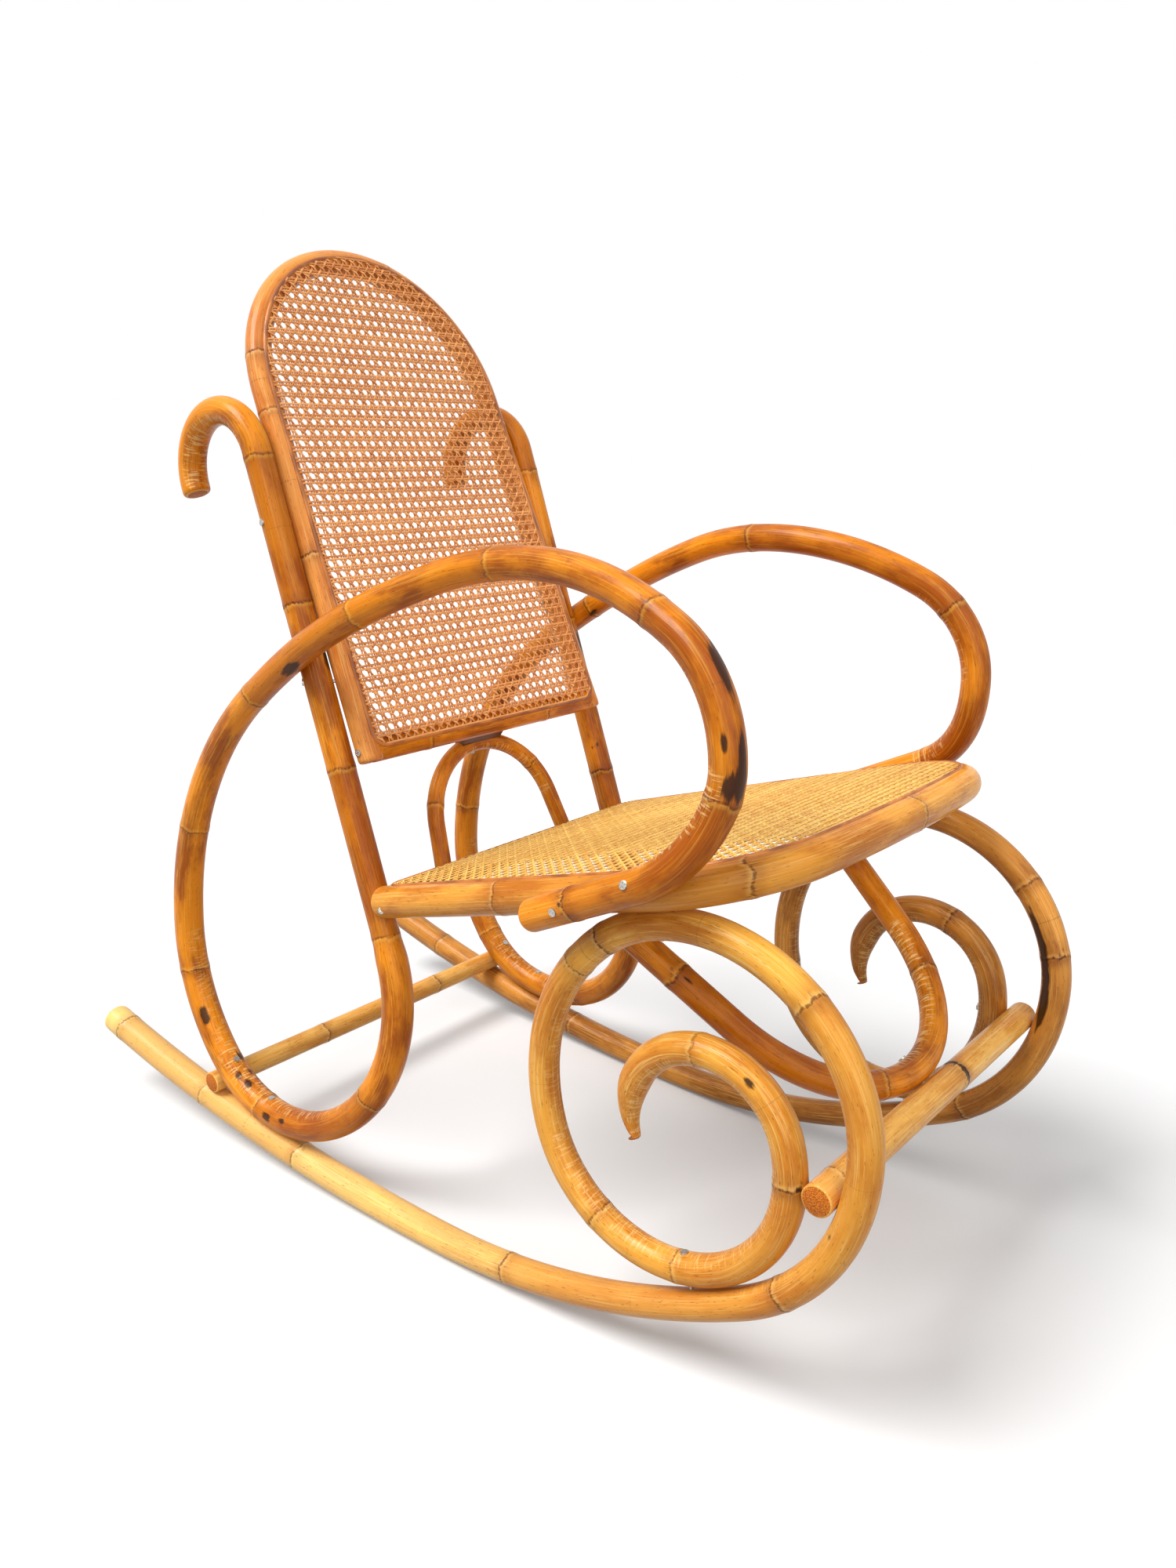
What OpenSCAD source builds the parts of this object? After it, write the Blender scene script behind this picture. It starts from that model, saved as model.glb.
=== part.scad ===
// Rocking chair of bent bamboo poles, with a woven cane seat and back.
// The sitter faces -Y, +X is on the sitter's left, and the floor is at z = 0.
// Each side has two long poles: one is the runner, the front ring and the scroll,
// the other is the hook, the upright, the bottom loop, the armrest and its tail.

/* [Poles] */
// Diameter of the runner pole at the front ring and the scroll
runner_d = 31; // [28:0.5:34]
// Diameter of the runner pole at its rear tip
runner_tip_d = 38; // [32:0.5:42]
// Diameter of the arm pole at the hook, the upright and the armrest
arm_d = 32; // [28:0.5:34]
// Diameter of the arm pole round its bottom loop
loop_d = 36; // [30:0.5:38]
// Diameter of the seat frame pole
seat_pole_d = 36; // [32:0.5:40]
// Diameter of the rail across the rear of the seat
rear_rail_d = 27; // [22:0.5:30]
// Diameter of the poles of the back frame
back_pole_d = 29; // [26:0.5:32]
// Diameter of the front stretcher
front_stretcher_d = 30; // [26:0.5:32]
// Diameter of the rear stretcher
rear_stretcher_d = 27; // [22:0.5:30]
// Diameter of the brace hoop under the seat
brace_d = 29; // [24:0.5:32]
// Diameter of the small arch under the back
arch_d = 20; // [16:0.5:24]
// Clearance between poles that touch
joint_gap = 0.3; // [0.2:0.05:0.4]

/* [Runner, ring and scroll] */
// Radius of the rocker curve along the floor
rocker_r = 2400; // [2100:50:2800]
// Length of the rocker curve from its resting point back to the tip
rocker_tail = 628; // [570:2:690]
// Length of the rocker curve from its resting point to the front sweep
rocker_lead = 14; // [0:2:40]
// Radius of the sweep in front of the rocker curve
sweep_r = 785; // [755:5:815]
// Angle of the sweep
sweep_angle = 28.7; // [27:0.1:30]
// Radius of the toe, from the sweep to the front of the ring
toe_r = 215; // [212:1:220]
// Radius of the front and the top of the ring
ring_front_r = 165; // [162:1:168]
// Angle of the front and the top of the ring
ring_front_angle = 133; // [130:1:136]
// Radius of the back of the ring
ring_back_r = 202; // [198:1:206]
// Angle of the back of the ring
ring_back_angle = 64; // [61:1:67]
// Angle of the inner ring
inner_angle = 178; // [170:1:186]
// Radius of the scroll
scroll_r = 84; // [76:1:92]
// Angle of the scroll
scroll_angle = 186; // [170:2:200]
// Length of the taper at the scroll's tip
scroll_taper = 65; // [40:5:80]
// Distance between the two rings, axis to axis
ring_span = 446; // [440:1:452]
// Angle by which each runner turns outward to the rear
runner_splay = 2.3; // [1.5:0.1:3]

/* [Arm pole] */
// Distance from the runner's resting point back to the middle of the loop
loop_offset = 261; // [250:1:272]
// Radius of the loop in front and below
loop_r = 186; // [180:1:192]
// Angle of the loop past its lowest point
loop_rise = 16; // [12:1:20]
// Radius of the loop's heel
heel_r = 137; // [130:1:145]
// Angle of the loop's heel
heel_angle = 33; // [30:1:36]
// Radius of the curve that rises behind the loop
riser_r = 229; // [220:1:236]
// Angle of the curve that rises behind the loop
riser_angle = 44; // [42:1:46]
// Radius of the shoulder
shoulder_r = 425; // [415:5:435]
// Angle of the shoulder
shoulder_angle = 50; // [48:1:52]
// Radius of the armrest's rear part
armrest_r = 1018; // [950:10:1100]
// Angle of the armrest's rear part
armrest_angle = 18; // [17:0.5:19]
// Radius of the armrest's front part
wrist_r = 371; // [360:1:380]
// Radius of the curl in front of the armrest
curl_r = 118; // [112:1:124]
// Slope of the tail that lies along the seat frame
tail_slope = 25.4; // [22:0.2:28]
// Distance from the ring's centre back to the middle of the tail
tail_reach = 107; // [95:1:120]
// Length of the tail behind its middle
tail_end = 62; // [45:1:75]
// Backward lean of the uprights
upright_lean = 18.8; // [17.5:0.1:20]
// Length of the straight part of the upright
upright_length = 580; // [540:5:620]
// Distance between the uprights, axis to axis
upright_span = 420; // [408:1:430]
// Radius of the hook at the top of the upright
hook_r = 65; // [55:1:75]
// Angle of the hook
hook_angle = 186; // [176:2:196]
// Distance between the rear curves of the arm poles
riser_span = 494; // [488:1:504]
// Distance between the armrests at their highest point
armrest_span = 420; // [400:2:440]
// Distance between the curls at their front
curl_span = 486; // [476:2:496]

/* [Seat] */
// Height of the seat frame's axis where it meets the uprights
seat_rear_height = 380; // [372:1:388]
// Depth of the seat frame along its slope, to the uprights' axes
seat_depth = 540; // [530:1:550]
// Distance between the side rails at the front, axis to axis
seat_front_width = 488; // [482:1:494]
// Radius of the seat frame's front corners
seat_corner_r = 105; // [90:5:120]
// Radius of the bow of the front rail
front_bow_r = 1400; // [1100:50:2000]
// Distance from the uprights forward to the rear rail's axis
rear_rail_lead = 27; // [25:1:32]
// Thickness of the cane webbing
cane_t = 2; // [1.5:0.1:2.5]
// Diameter of the spline that holds the webbing
spline_d = 5; // [4:0.2:6]
// Height by which the spline stands proud of its groove
spline_proud = 2; // [1.6:0.1:2.2]
// Radius of the corners of the spline
spline_corner_r = 18; // [14:1:24]

/* [Back] */
// Height of the bottom rail of the back above the floor
back_bottom_height = 545; // [535:1:555]
// Length of the back from its bottom rail to the top, axis to axis
back_length = 585; // [560:1:610]
// Lead of the back frame ahead of the uprights at the bottom rail
back_lead = 27; // [24:0.5:28]

/* [Stretchers, brace and arch] */
// Length of the front stretcher
front_stretcher_length = 458; // [450:1:470]
// Length of the rear stretcher
rear_stretcher_length = 530; // [520:1:545]
// Lean of the brace hoop from the vertical
brace_lean = 53; // [50:0.5:56]
// Radius of the bend of the brace hoop
brace_r = 170; // [166:1:174]
// Length of the legs of the brace hoop past the rings
brace_overrun = 14; // [10:1:16]
// Lean of the arch from the vertical
arch_lean = 21; // [20:0.2:22]
// Radius of the bend of the arch
arch_r = 100; // [92:1:108]
// Outward splay of the legs of the arch
arch_splay = 9; // [7:0.5:11]
// Length of the legs of the arch below the rear rail's axis
arch_foot = 12; // [8:1:18]
// Height of the spacer block over the arch
spacer_height = 9; // [7:0.5:11]
// Length of the spacer block
spacer_length = 64; // [50:1:80]
// Width of the spacer block
spacer_width = 12; // [10:1:14]

/* [Screws] */
// Diameter of the screw heads
head_d = 8; // [7:0.5:9]
// Height of the screw heads
head_h = 3; // [2.5:0.1:3.5]
// Diameter of the screw shanks
shank_d = 4; // [3.5:0.1:4.5]
// Distance between the two screws of an arm tail
tail_screw_pitch = 92; // [84:1:96]
// Distance from the middle of the tail back to its rear screw
tail_screw_rear = 12; // [6:1:18]
// Depth to which the screws reach into the second pole
screw_grip = 18; // [12:1:22]
// Drop of the screws in the side rails' ends below the rails' axes
rail_screw_drop = 5; // [0:1:8]
// Distance along the uprights between the two screws that hold the back frame
back_screw_pitch = 180; // [120:5:220]

/* [Hidden] */

// Sides of a bent pole and of a cord, and the largest steps between two of their rings
pole_sides = 16;
cord_sides = 8;
ring_step = 7.5;
longest_step = 70;
longest_chord = 35;
cord_step = 8.5;
$fn = 48;

// Radii
runner_rad = runner_d / 2;
tip_rad = runner_tip_d / 2;
arm_rad = arm_d / 2;
loop_rad = loop_d / 2;
seat_rad = seat_pole_d / 2;
rear_rail_rad = rear_rail_d / 2;
back_rad = back_pole_d / 2;
brace_rad = brace_d / 2;
arch_rad = arch_d / 2;
front_rad = front_stretcher_d / 2;
rear_rad = rear_stretcher_d / 2;

// Headings are angles in the side view: 0 points to the rear, 90 points up.
// An arc is [centre, radius, first heading, last heading, turn], with turn 1
// for a left bend and -1 for a right bend.
function along(h) = [cos(h), sin(h)];
function across(h, turn) = turn * [sin(h), -cos(h)];
function arc_point(a, h) = a[0] + a[1] * across(h, a[4]);
function arc_length(a) = a[1] * abs(a[3] - a[2]) * PI / 180;
function next_arc(a, r, angle) =
    [a[0] + (a[1] - r) * across(a[3], a[4]), r, a[3], a[3] + a[4] * angle, a[4]];
function arc_steps(a) = max(ceil(abs(a[3] - a[2]) / ring_step), ceil(arc_length(a) / longest_step));
function arc_points(a) =
    [for (i = [0 : arc_steps(a) - 1]) arc_point(a, a[2] + (a[3] - a[2]) * i / arc_steps(a))];
function line_points(p, q, steps) = [for (i = [0 : steps - 1]) p + (q - p) * i / steps];

function unit(v) = v / norm(v);
// Length from the start of a path to each of its points
function lengths(path) =
    [for (i = 0, s = 0; i < len(path);
        s = s + (i + 1 < len(path) ? norm(path[i + 1] - path[i]) : 0), i = i + 1) s];
// Value at length s that eases from one station [length, value] to the next
function eased(stations, s) =
    let (n = len(stations) - 1,
        u = lookup(s, [for (i = [0 : n]) [stations[i][0], i]]),
        i = min(floor(u), n - 1), f = u - i)
    stations[i][1] + (stations[i + 1][1] - stations[i][1]) * f * f * (3 - 2 * f);

// Runner pole in the side view, from the rear tip to the scroll's tip
rocker_angle = rocker_tail / rocker_r * 180 / PI;
lead_angle = rocker_lead / rocker_r * 180 / PI;
slim_length = rocker_tail + rocker_lead + sweep_r * sweep_angle * PI / 180;
floor_rad = eased([[0, tip_rad], [slim_length, runner_rad]], rocker_tail);
rocker = [[0, rocker_r + floor_rad], rocker_r, 180 + rocker_angle, 180 - lead_angle, -1];
sweep = next_arc(rocker, sweep_r, sweep_angle);
toe = next_arc(sweep, toe_r, sweep[3] - 90);
ring_front = next_arc(toe, ring_front_r, ring_front_angle);
ring_back = next_arc(ring_front, ring_back_r, ring_back_angle);
ring_centre = ring_front[0];
// The inner ring rests on the toe: its radius follows from that contact
inner_start = arc_point(ring_back, ring_back[3]);
inner_room = toe_r - runner_d - joint_gap;
inner_offset = inner_start - toe[0];
inner_r = (inner_room ^ 2 - inner_offset * inner_offset)
    / (2 * (inner_room - inner_offset * across(ring_back[3], -1)));
inner = next_arc(ring_back, inner_r, inner_angle);
scroll = next_arc(inner, scroll_r, scroll_angle);
tip_share = 0.45;
runner_path = concat(arc_points(rocker), arc_points(sweep), arc_points(toe),
    arc_points(ring_front), arc_points(ring_back), arc_points(inner), arc_points(scroll),
    [arc_point(scroll, scroll[3])]);
runner_lengths = lengths(runner_path);
runner_length = runner_lengths[len(runner_lengths) - 1];
runner_rads = [[0, tip_rad], [slim_length, runner_rad],
    [runner_length - scroll_taper, runner_rad], [runner_length, runner_rad * tip_share]];
function runner_x(y) = ring_span / 2 + tan(runner_splay) * (y - ring_centre[0]);

// Arm pole in the side view, from the tip of the hook to the end of the tail
loop_turn = asin(loop_offset / (rocker_r - loop_r));
runner_rad_at_loop = eased(runner_rads, (rocker_angle - loop_turn) * PI / 180 * rocker_r);
loop_room = rocker_r - runner_rad_at_loop - loop_rad - joint_gap - loop_r;
loop_centre = [loop_offset, rocker[0][1] - sqrt(loop_room ^ 2 - loop_offset ^ 2)];
upright_heading = 270 - upright_lean;
loop = [loop_centre, loop_r, upright_heading, 360 + loop_rise, 1];
upright_foot = arc_point(loop, upright_heading);
upright_top = upright_foot - upright_length * along(upright_heading);
hook = [upright_top - hook_r * across(upright_heading, 1), hook_r,
    upright_heading - hook_angle, upright_heading, 1];
heel = next_arc(loop, heel_r, heel_angle);
riser = next_arc(heel, riser_r, riser_angle);
shoulder = next_arc(riser, shoulder_r, shoulder_angle);
armrest = next_arc(shoulder, armrest_r, armrest_angle);
wrist_centre = armrest[0] + (armrest_r - wrist_r) * across(armrest[3], 1);

// The seat frame's axis lies in a plane that meets the uprights' axes and
// rests on the tops of the rings. Its tilt follows from that contact.
function upright_at(z) =
    upright_foot + (z - upright_foot[1]) * [tan(upright_lean), 1];
seat_origin = upright_at(seat_rear_height);
rear_half = upright_span / 2;
front_half = seat_front_width / 2;
leg_tilt = atan((front_half - rear_half) / seat_depth);
ring_to_seat = seat_origin - ring_centre;
function tilt_over_ring(lift) = atan2(ring_to_seat[0], ring_to_seat[1])
    - acos((ring_front_r + lift) / norm(ring_to_seat));
// Side rails in the seat's own plane, with x outward and y along the slope to the rear
function rail_x(y) = rear_half - y * tan(leg_tilt);
pole_sum = seat_rad + runner_rad + joint_gap;
first_tilt = tilt_over_ring(pole_sum);
rest_y = ring_centre[0] + ring_front_r * sin(first_tilt);
side_step = rail_x((rest_y - seat_origin[0]) / cos(first_tilt)) - runner_x(rest_y);
seat_tilt = tilt_over_ring(sqrt(pole_sum ^ 2 - side_step ^ 2));
function seat_z(y) = seat_origin[1] - (y - seat_origin[0]) * tan(seat_tilt);
function slope_y(y) = (y - seat_origin[0]) / cos(seat_tilt);

// The tail crosses the outside of the side rail, and the curl joins it to the armrest
tail_mid_y = ring_centre[0] + tail_reach;
tail_mid = [tail_mid_y, seat_z(tail_mid_y)];
tail_dir = along(-tail_slope);
curl_seat = tail_mid - curl_r * across(-tail_slope, 1) - wrist_centre;
curl_back = -(curl_seat * tail_dir)
    - sqrt((curl_seat * tail_dir) ^ 2 - curl_seat * curl_seat + (wrist_r - curl_r) ^ 2);
curl_centre = tail_mid - curl_r * across(-tail_slope, 1) + curl_back * tail_dir;
wrist_dir = (curl_centre - wrist_centre) / (wrist_r - curl_r);
curl_heading = 540 + atan2(-wrist_dir[0], wrist_dir[1]);
wrist = [wrist_centre, wrist_r, armrest[3], curl_heading, 1];
curl = [curl_centre, curl_r, curl_heading, 720 - tail_slope, 1];
tail_start = arc_point(curl, curl[3]);
tail_tip = tail_mid + tail_end * tail_dir;
arm_path = concat(arc_points(hook), line_points(upright_top, upright_foot, 9), arc_points(loop),
    arc_points(heel), arc_points(riser), arc_points(shoulder), arc_points(armrest),
    arc_points(wrist), arc_points(curl), line_points(tail_start, tail_tip, 3), [tail_tip]);
arm_lengths = lengths(arm_path);

// Lengths along the arm pole at which its side position or its thickness is given
hook_s = arc_length(hook);
foot_s = hook_s + upright_length;
loop_s = foot_s + (360 + loop_turn - upright_heading) * PI / 180 * loop_r;
heel_s = foot_s + arc_length(loop) + arc_length(heel);
rear_s = heel_s + arc_length(riser);
shoulder_s = rear_s + arc_length(shoulder);
armrest_s = shoulder_s + arc_length(armrest);
top_s = armrest_s + (540 - wrist[2]) * PI / 180 * wrist_r;
front_s = armrest_s + arc_length(wrist) + (630 - curl[2]) * PI / 180 * curl_r;
tail_s = armrest_s + arc_length(wrist) + arc_length(curl);
end_s = tail_s + norm(tail_tip - tail_start);
seat_s = hook_s + norm(seat_origin - upright_top) + seat_pole_d;

// The shoulder crosses the outside of the upright
to_upright = upright_top - shoulder[0];
upright_dir = along(upright_heading);
cross_t = -(to_upright * upright_dir)
    - sqrt((to_upright * upright_dir) ^ 2 - to_upright * to_upright + shoulder_r ^ 2);
cross_point = upright_top + cross_t * upright_dir;
cross_heading = 360 + atan2(cross_point[0] - shoulder[0][0], shoulder[0][1] - cross_point[1]);
cross_s = rear_s + (cross_heading - shoulder[2]) * PI / 180 * shoulder_r;
cross_x = rear_half + arm_d + joint_gap;

// The tail follows the outside of the side rail
function tail_x(y) = rail_x(slope_y(y)) + (seat_rad + arm_rad + joint_gap) / cos(leg_tilt);

arm_xs = [[0, rear_half], [seat_s, rear_half], [loop_s, runner_x(loop_offset)],
    [rear_s, riser_span / 2], [cross_s - arm_d, cross_x], [cross_s + arm_d, cross_x],
    [top_s, armrest_span / 2], [front_s, curl_span / 2], [tail_s, tail_x(tail_start[0])]];
arm_rads = [[0, arm_rad], [seat_s, arm_rad], [foot_s, loop_rad], [rear_s, loop_rad],
    [cross_s - arm_d, arm_rad], [end_s, arm_rad]];

// The chair is shifted along Y so that its box is centred on the origin
front_y = ring_front[0][0] - max(ring_front_r, toe_r - (toe[0][0] - ring_front[0][0])) - runner_rad;
rear_y = arc_point(rocker, rocker[2])[0] + tip_rad * sin(rocker_angle);
centre_y = (front_y + rear_y) / 2;

// A pole swept along points [x, y, z], with a radius at each of them.
// Its ends are rounded over by a short edge.
edge = 5;
edge_steps = [0, 0.3, 1];
edge_shares = [0.78, 0.93, 1];
function with_edges(p) =
    let (n = len(p) - 1, a = edge * unit(p[1] - p[0]), b = edge * unit(p[n - 1] - p[n]))
    concat([for (i = [0 : 2]) p[0] + edge_steps[i] * a], [for (i = [1 : n - 1]) p[i]],
        [for (i = [2 : -1 : 0]) p[n] + edge_steps[i] * b]);
function edge_rads(r) =
    let (n = len(r) - 1)
    concat([for (i = [0 : 2]) r[0] * edge_shares[i]], [for (i = [1 : n - 1]) r[i]],
        [for (i = [2 : -1 : 0]) r[n] * edge_shares[i]]);
// Rings of a swept shape: ref is square to the plane in which its path is bent
function ring_points(p, t, r, ref, sides) =
    let (b = cross(t, ref) / norm(cross(t, ref)), a = cross(b, t))
    [for (k = [0 : sides - 1]) p + r * (cos(k * 360 / sides) * a + sin(k * 360 / sides) * b)];
function ring_faces(q, next, sides) =
    [for (k = [0 : sides - 1]) let (m = (k + 1) % sides) [q + k, next + k, next + m, q + m]];
function join(parts) = [for (part = parts) for (item = part) item];
module pole(path, rads, ref = [1, 0, 0]) {
    p = with_edges(path);
    r = edge_rads(rads);
    n = len(p) - 1;
    last = n * pole_sides;
    points = join([for (i = [0 : n])
        ring_points(p[i], unit(p[min(i + 1, n)] - p[max(i - 1, 0)]), r[i], ref, pole_sides)]);
    faces = concat(
        [[for (k = [0 : pole_sides - 1]) k]],
        [[for (k = [pole_sides - 1 : -1 : 0]) last + k]],
        join([for (i = [0 : n - 1]) ring_faces(i * pole_sides, (i + 1) * pole_sides, pole_sides)]));
    polyhedron(points, faces, convexity = 8);
}
// A pole of even thickness along points [x, y] in a plane
module flat_pole(path, d) {
    pole([for (q = path) [q[0], q[1], 0]], [for (q = path) d / 2], [0, 0, 1]);
}
// A closed cord along points [x, y], lifted off their plane
module flat_cord(path, lift, d) {
    n = len(path);
    points = join([for (i = [0 : n - 1])
        let (t = unit(path[(i + 1) % n] - path[(i + n - 1) % n]))
        ring_points([path[i][0], path[i][1], lift], [t[0], t[1], 0], d / 2, [0, 0, 1], cord_sides)]);
    faces = join([for (i = [0 : n - 1])
        ring_faces(i * cord_sides, (i + 1) % n * cord_sides, cord_sides)]);
    polyhedron(points, faces, convexity = 8);
}
// Points of an arc [x, y] about c, and the mirror image of a path in reverse order
function turned(c, r, first, last, step = ring_step) =
    let (steps = ceil(max(abs(last - first) / step, r * abs(last - first) * PI / 180 / longest_chord)))
    [for (i = [0 : steps]) let (h = first + (last - first) * i / steps) c + r * [cos(h), sin(h)]];
function mirrored(path) = [for (i = [len(path) - 1 : -1 : 0]) [-path[i][0], path[i][1]]];
function without_first(path) = [for (i = [1 : len(path) - 1]) path[i]];
function without_last(path) = [for (i = [0 : len(path) - 2]) path[i]];
// Whole path of a hoop whose first half ends on the mid-plane
function hoop(half) = concat(without_last(half), mirrored(half));
module rod(a, b, d) {
    v = b - a;
    translate(a) rotate([0, acos(v[2] / norm(v)), atan2(v[1], v[0])]) cylinder(d = d, h = norm(v));
}
module both_sides() {
    children();
    mirror([1, 0, 0]) children();
}
module in_chair() {
    translate([0, -centre_y, 0]) children();
}
module in_seat() {
    translate([0, seat_origin[0] - centre_y, seat_origin[1]]) rotate([-seat_tilt, 0, 0]) children();
}

// Outline of the seat frame in its own plane: side rails, front corners and a bowed front rail
bow_centre = [0, front_bow_r - seat_depth];
leg_dir = [sin(leg_tilt), -cos(leg_tilt)];
leg_out = [cos(leg_tilt), sin(leg_tilt)];
from_bow = [rear_half, 0] - seat_corner_r * leg_out - bow_centre;
corner_run = -(from_bow * leg_dir)
    + sqrt((from_bow * leg_dir) ^ 2 - from_bow * from_bow + (front_bow_r - seat_corner_r) ^ 2);
corner_centre = bow_centre + from_bow + corner_run * leg_dir;
bow_angle = atan2(corner_centre[1] - bow_centre[1], corner_centre[0]);
rear_rail_y = -rear_rail_lead;
seat_end_share = 0.7;
rear_rail_lift = seat_rad - rear_rail_rad;
seat_end_y = -arm_rad * seat_end_share;
seat_corner = [rail_x(rear_rail_y - spline_corner_r * (1 - sin(leg_tilt)))
        - spline_corner_r * cos(leg_tilt),
    rear_rail_y - spline_corner_r];
// Half of the closed outline that runs along the poles' tops, shrunk by inset
function seat_half(inset) = concat(
    turned(seat_corner, spline_corner_r - inset, 90, leg_tilt, cord_step * 2),
    turned(corner_centre, seat_corner_r - inset, leg_tilt, bow_angle, cord_step),
    turned(bow_centre, front_bow_r - inset, bow_angle, -90, cord_step));
// The pole has no ring where a corner meets the bow, so its facets stay clear of the groove's
seat_path = hoop(concat([[rail_x(seat_end_y), seat_end_y]],
    without_last(turned(corner_centre, seat_corner_r, leg_tilt, bow_angle)),
    without_first(turned(bow_centre, front_bow_r, bow_angle, -90))));
spline_lift = spline_proud - spline_d / 2;
groove_half = spline_d / 2 + joint_gap;
groove_depth = spline_d - spline_proud + joint_gap;
cane_inset = groove_half + joint_gap;

// Back frame in its own plane, with y up along the slope and z to the front
back_origin = upright_at(back_bottom_height) - [back_lead, 0];
back_recline = atan((upright_top[0] - back_origin[0]) / (upright_top[1] - back_origin[1]));
back_sum = back_rad + arm_rad + joint_gap;
slope_lead = back_lead * cos(back_recline);
// The leg passes the upright at a small angle and touches it half way
touch_angle = asin(slope_lead / 2 / back_sum);
function leg_step(lead) = (back_sum - lead * sin(touch_angle)) / cos(touch_angle);
crossing_y = (upright_top[1] - back_origin[1]) / cos(back_recline);
back_bottom_half = rear_half - leg_step(slope_lead);
back_tilt = atan((leg_step(0) - leg_step(slope_lead)) / crossing_y);
back_r = (back_bottom_half - back_length * tan(back_tilt)) * cos(back_tilt) / (1 - sin(back_tilt));
back_centre = [0, back_length - back_r];
function back_x(y) = back_bottom_half - y * tan(back_tilt);
back_corner = [back_x(spline_corner_r * (1 + sin(back_tilt))) - spline_corner_r * cos(back_tilt),
    spline_corner_r];
function back_half(inset) = concat(
    turned(back_corner, spline_corner_r - inset, -90, back_tilt, cord_step * 2),
    turned(back_centre, back_r - inset, back_tilt, 90, cord_step));
// The legs end just below the bottom rail's axis
back_foot_y = -back_rad + joint_gap * 5;
back_path = hoop(concat([[back_x(back_foot_y), back_foot_y]], turned(back_centre, back_r, back_tilt, 90)));
module in_back() {
    translate([0, back_origin[0] - centre_y, back_origin[1]]) rotate([90 - back_recline, 0, 0]) children();
}

// Front stretcher: it fills the gap between the ring and the inner ring
between = toe[0] - inner[0];
inner_reach = inner_r + runner_rad + front_rad + joint_gap;
outer_reach = toe_r - runner_rad - front_rad - joint_gap;
front_turn = atan2(between[1], between[0])
    + acos((inner_reach ^ 2 + between * between - outer_reach ^ 2) / (2 * inner_reach * norm(between)));
front_seat = inner[0] + inner_reach * [cos(front_turn), sin(front_turn)];

// Rear stretcher: it lies on the runners and against the heels of the loops
rear_guess = asin((heel[0][0] + heel_r) / rocker_r);
rear_runner_rad = eased(runner_rads, (rocker_angle - rear_guess) * PI / 180 * rocker_r);
to_rocker = rocker[0] - heel[0];
heel_reach = heel_r + loop_rad + rear_rad + joint_gap;
floor_reach = rocker_r - rear_runner_rad - rear_rad - joint_gap;
rear_turn = atan2(to_rocker[1], to_rocker[0])
    - acos((heel_reach ^ 2 + to_rocker * to_rocker - floor_reach ^ 2) / (2 * heel_reach * norm(to_rocker)));
rear_seat = heel[0] + heel_reach * [cos(rear_turn), sin(rear_turn)];

// Brace hoop: its bend rests on the front stretcher and its legs touch the rings' inner sides
brace_dir = [sin(brace_lean), cos(brace_lean)];
brace_origin = front_seat + (front_rad + brace_rad + joint_gap) * brace_dir;
to_ring = brace_origin - ring_back[0];
ring_run = -(to_ring * brace_dir) + sqrt((to_ring * brace_dir) ^ 2 - to_ring * to_ring + ring_back_r ^ 2);
ring_meet = brace_origin + ring_run * brace_dir;
brace_half = runner_x(ring_meet[0]) - runner_rad - brace_rad - joint_gap * 2;
brace_splay = acos(brace_r / norm([brace_half, ring_run - brace_r]))
    - atan2(ring_run - brace_r, brace_half);
brace_foot = brace_r * [cos(brace_splay), 1 - sin(brace_splay)];
brace_top_y = ring_run + brace_overrun;
brace_path = hoop(concat([[brace_foot[0] + (brace_top_y - brace_foot[1]) * tan(brace_splay), brace_top_y]],
    turned([0, brace_r], brace_r, -brace_splay, -90)));
module in_brace() {
    translate([0, brace_origin[0] - centre_y, brace_origin[1]]) rotate([90 - brace_lean, 0, 0]) children();
}

// Rear arch: its legs stand behind the rear rail and its top is spaced off the bottom rail
rear_rail_axis = seat_origin + rear_rail_y * [cos(seat_tilt), -sin(seat_tilt)]
    + rear_rail_lift * [sin(seat_tilt), cos(seat_tilt)];
arch_dir = [sin(arch_lean), cos(arch_lean)];
arch_base = rear_rail_axis + (rear_rail_rad + arch_rad + joint_gap) * [cos(arch_lean), -sin(arch_lean)];
axes_apart = back_rad + arch_rad + spacer_height + 2 * joint_gap;
from_rail = arch_base - back_origin;
arch_height = -(from_rail * arch_dir)
    - sqrt((from_rail * arch_dir) ^ 2 - from_rail * from_rail + axes_apart ^ 2);
arch_top = arch_base + arch_height * arch_dir;
spacer_lean = atan2(back_origin[0] - arch_top[0], back_origin[1] - arch_top[1]);
arch_side = [arch_r * cos(arch_splay), arch_height - arch_r * (1 - sin(arch_splay))];
function arch_x(y) = arch_side[0] + (arch_side[1] - y) * tan(arch_splay);
arch_path = hoop(concat([[arch_x(-arch_foot), -arch_foot]],
    turned([0, arch_height - arch_r], arch_r, arch_splay, 90)));
module in_arch() {
    translate([0, arch_base[0] - centre_y, arch_base[1]]) rotate([90 - arch_lean, 0, 0]) children();
}

// A screw starts at its head and points along the given direction
module screw(head, dir, length, d = shank_d, hd = head_d) {
    u = dir / norm(dir);
    rod(head - u * head_h, head, hd);
    rod(head, head + u * length, d);
}
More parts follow.
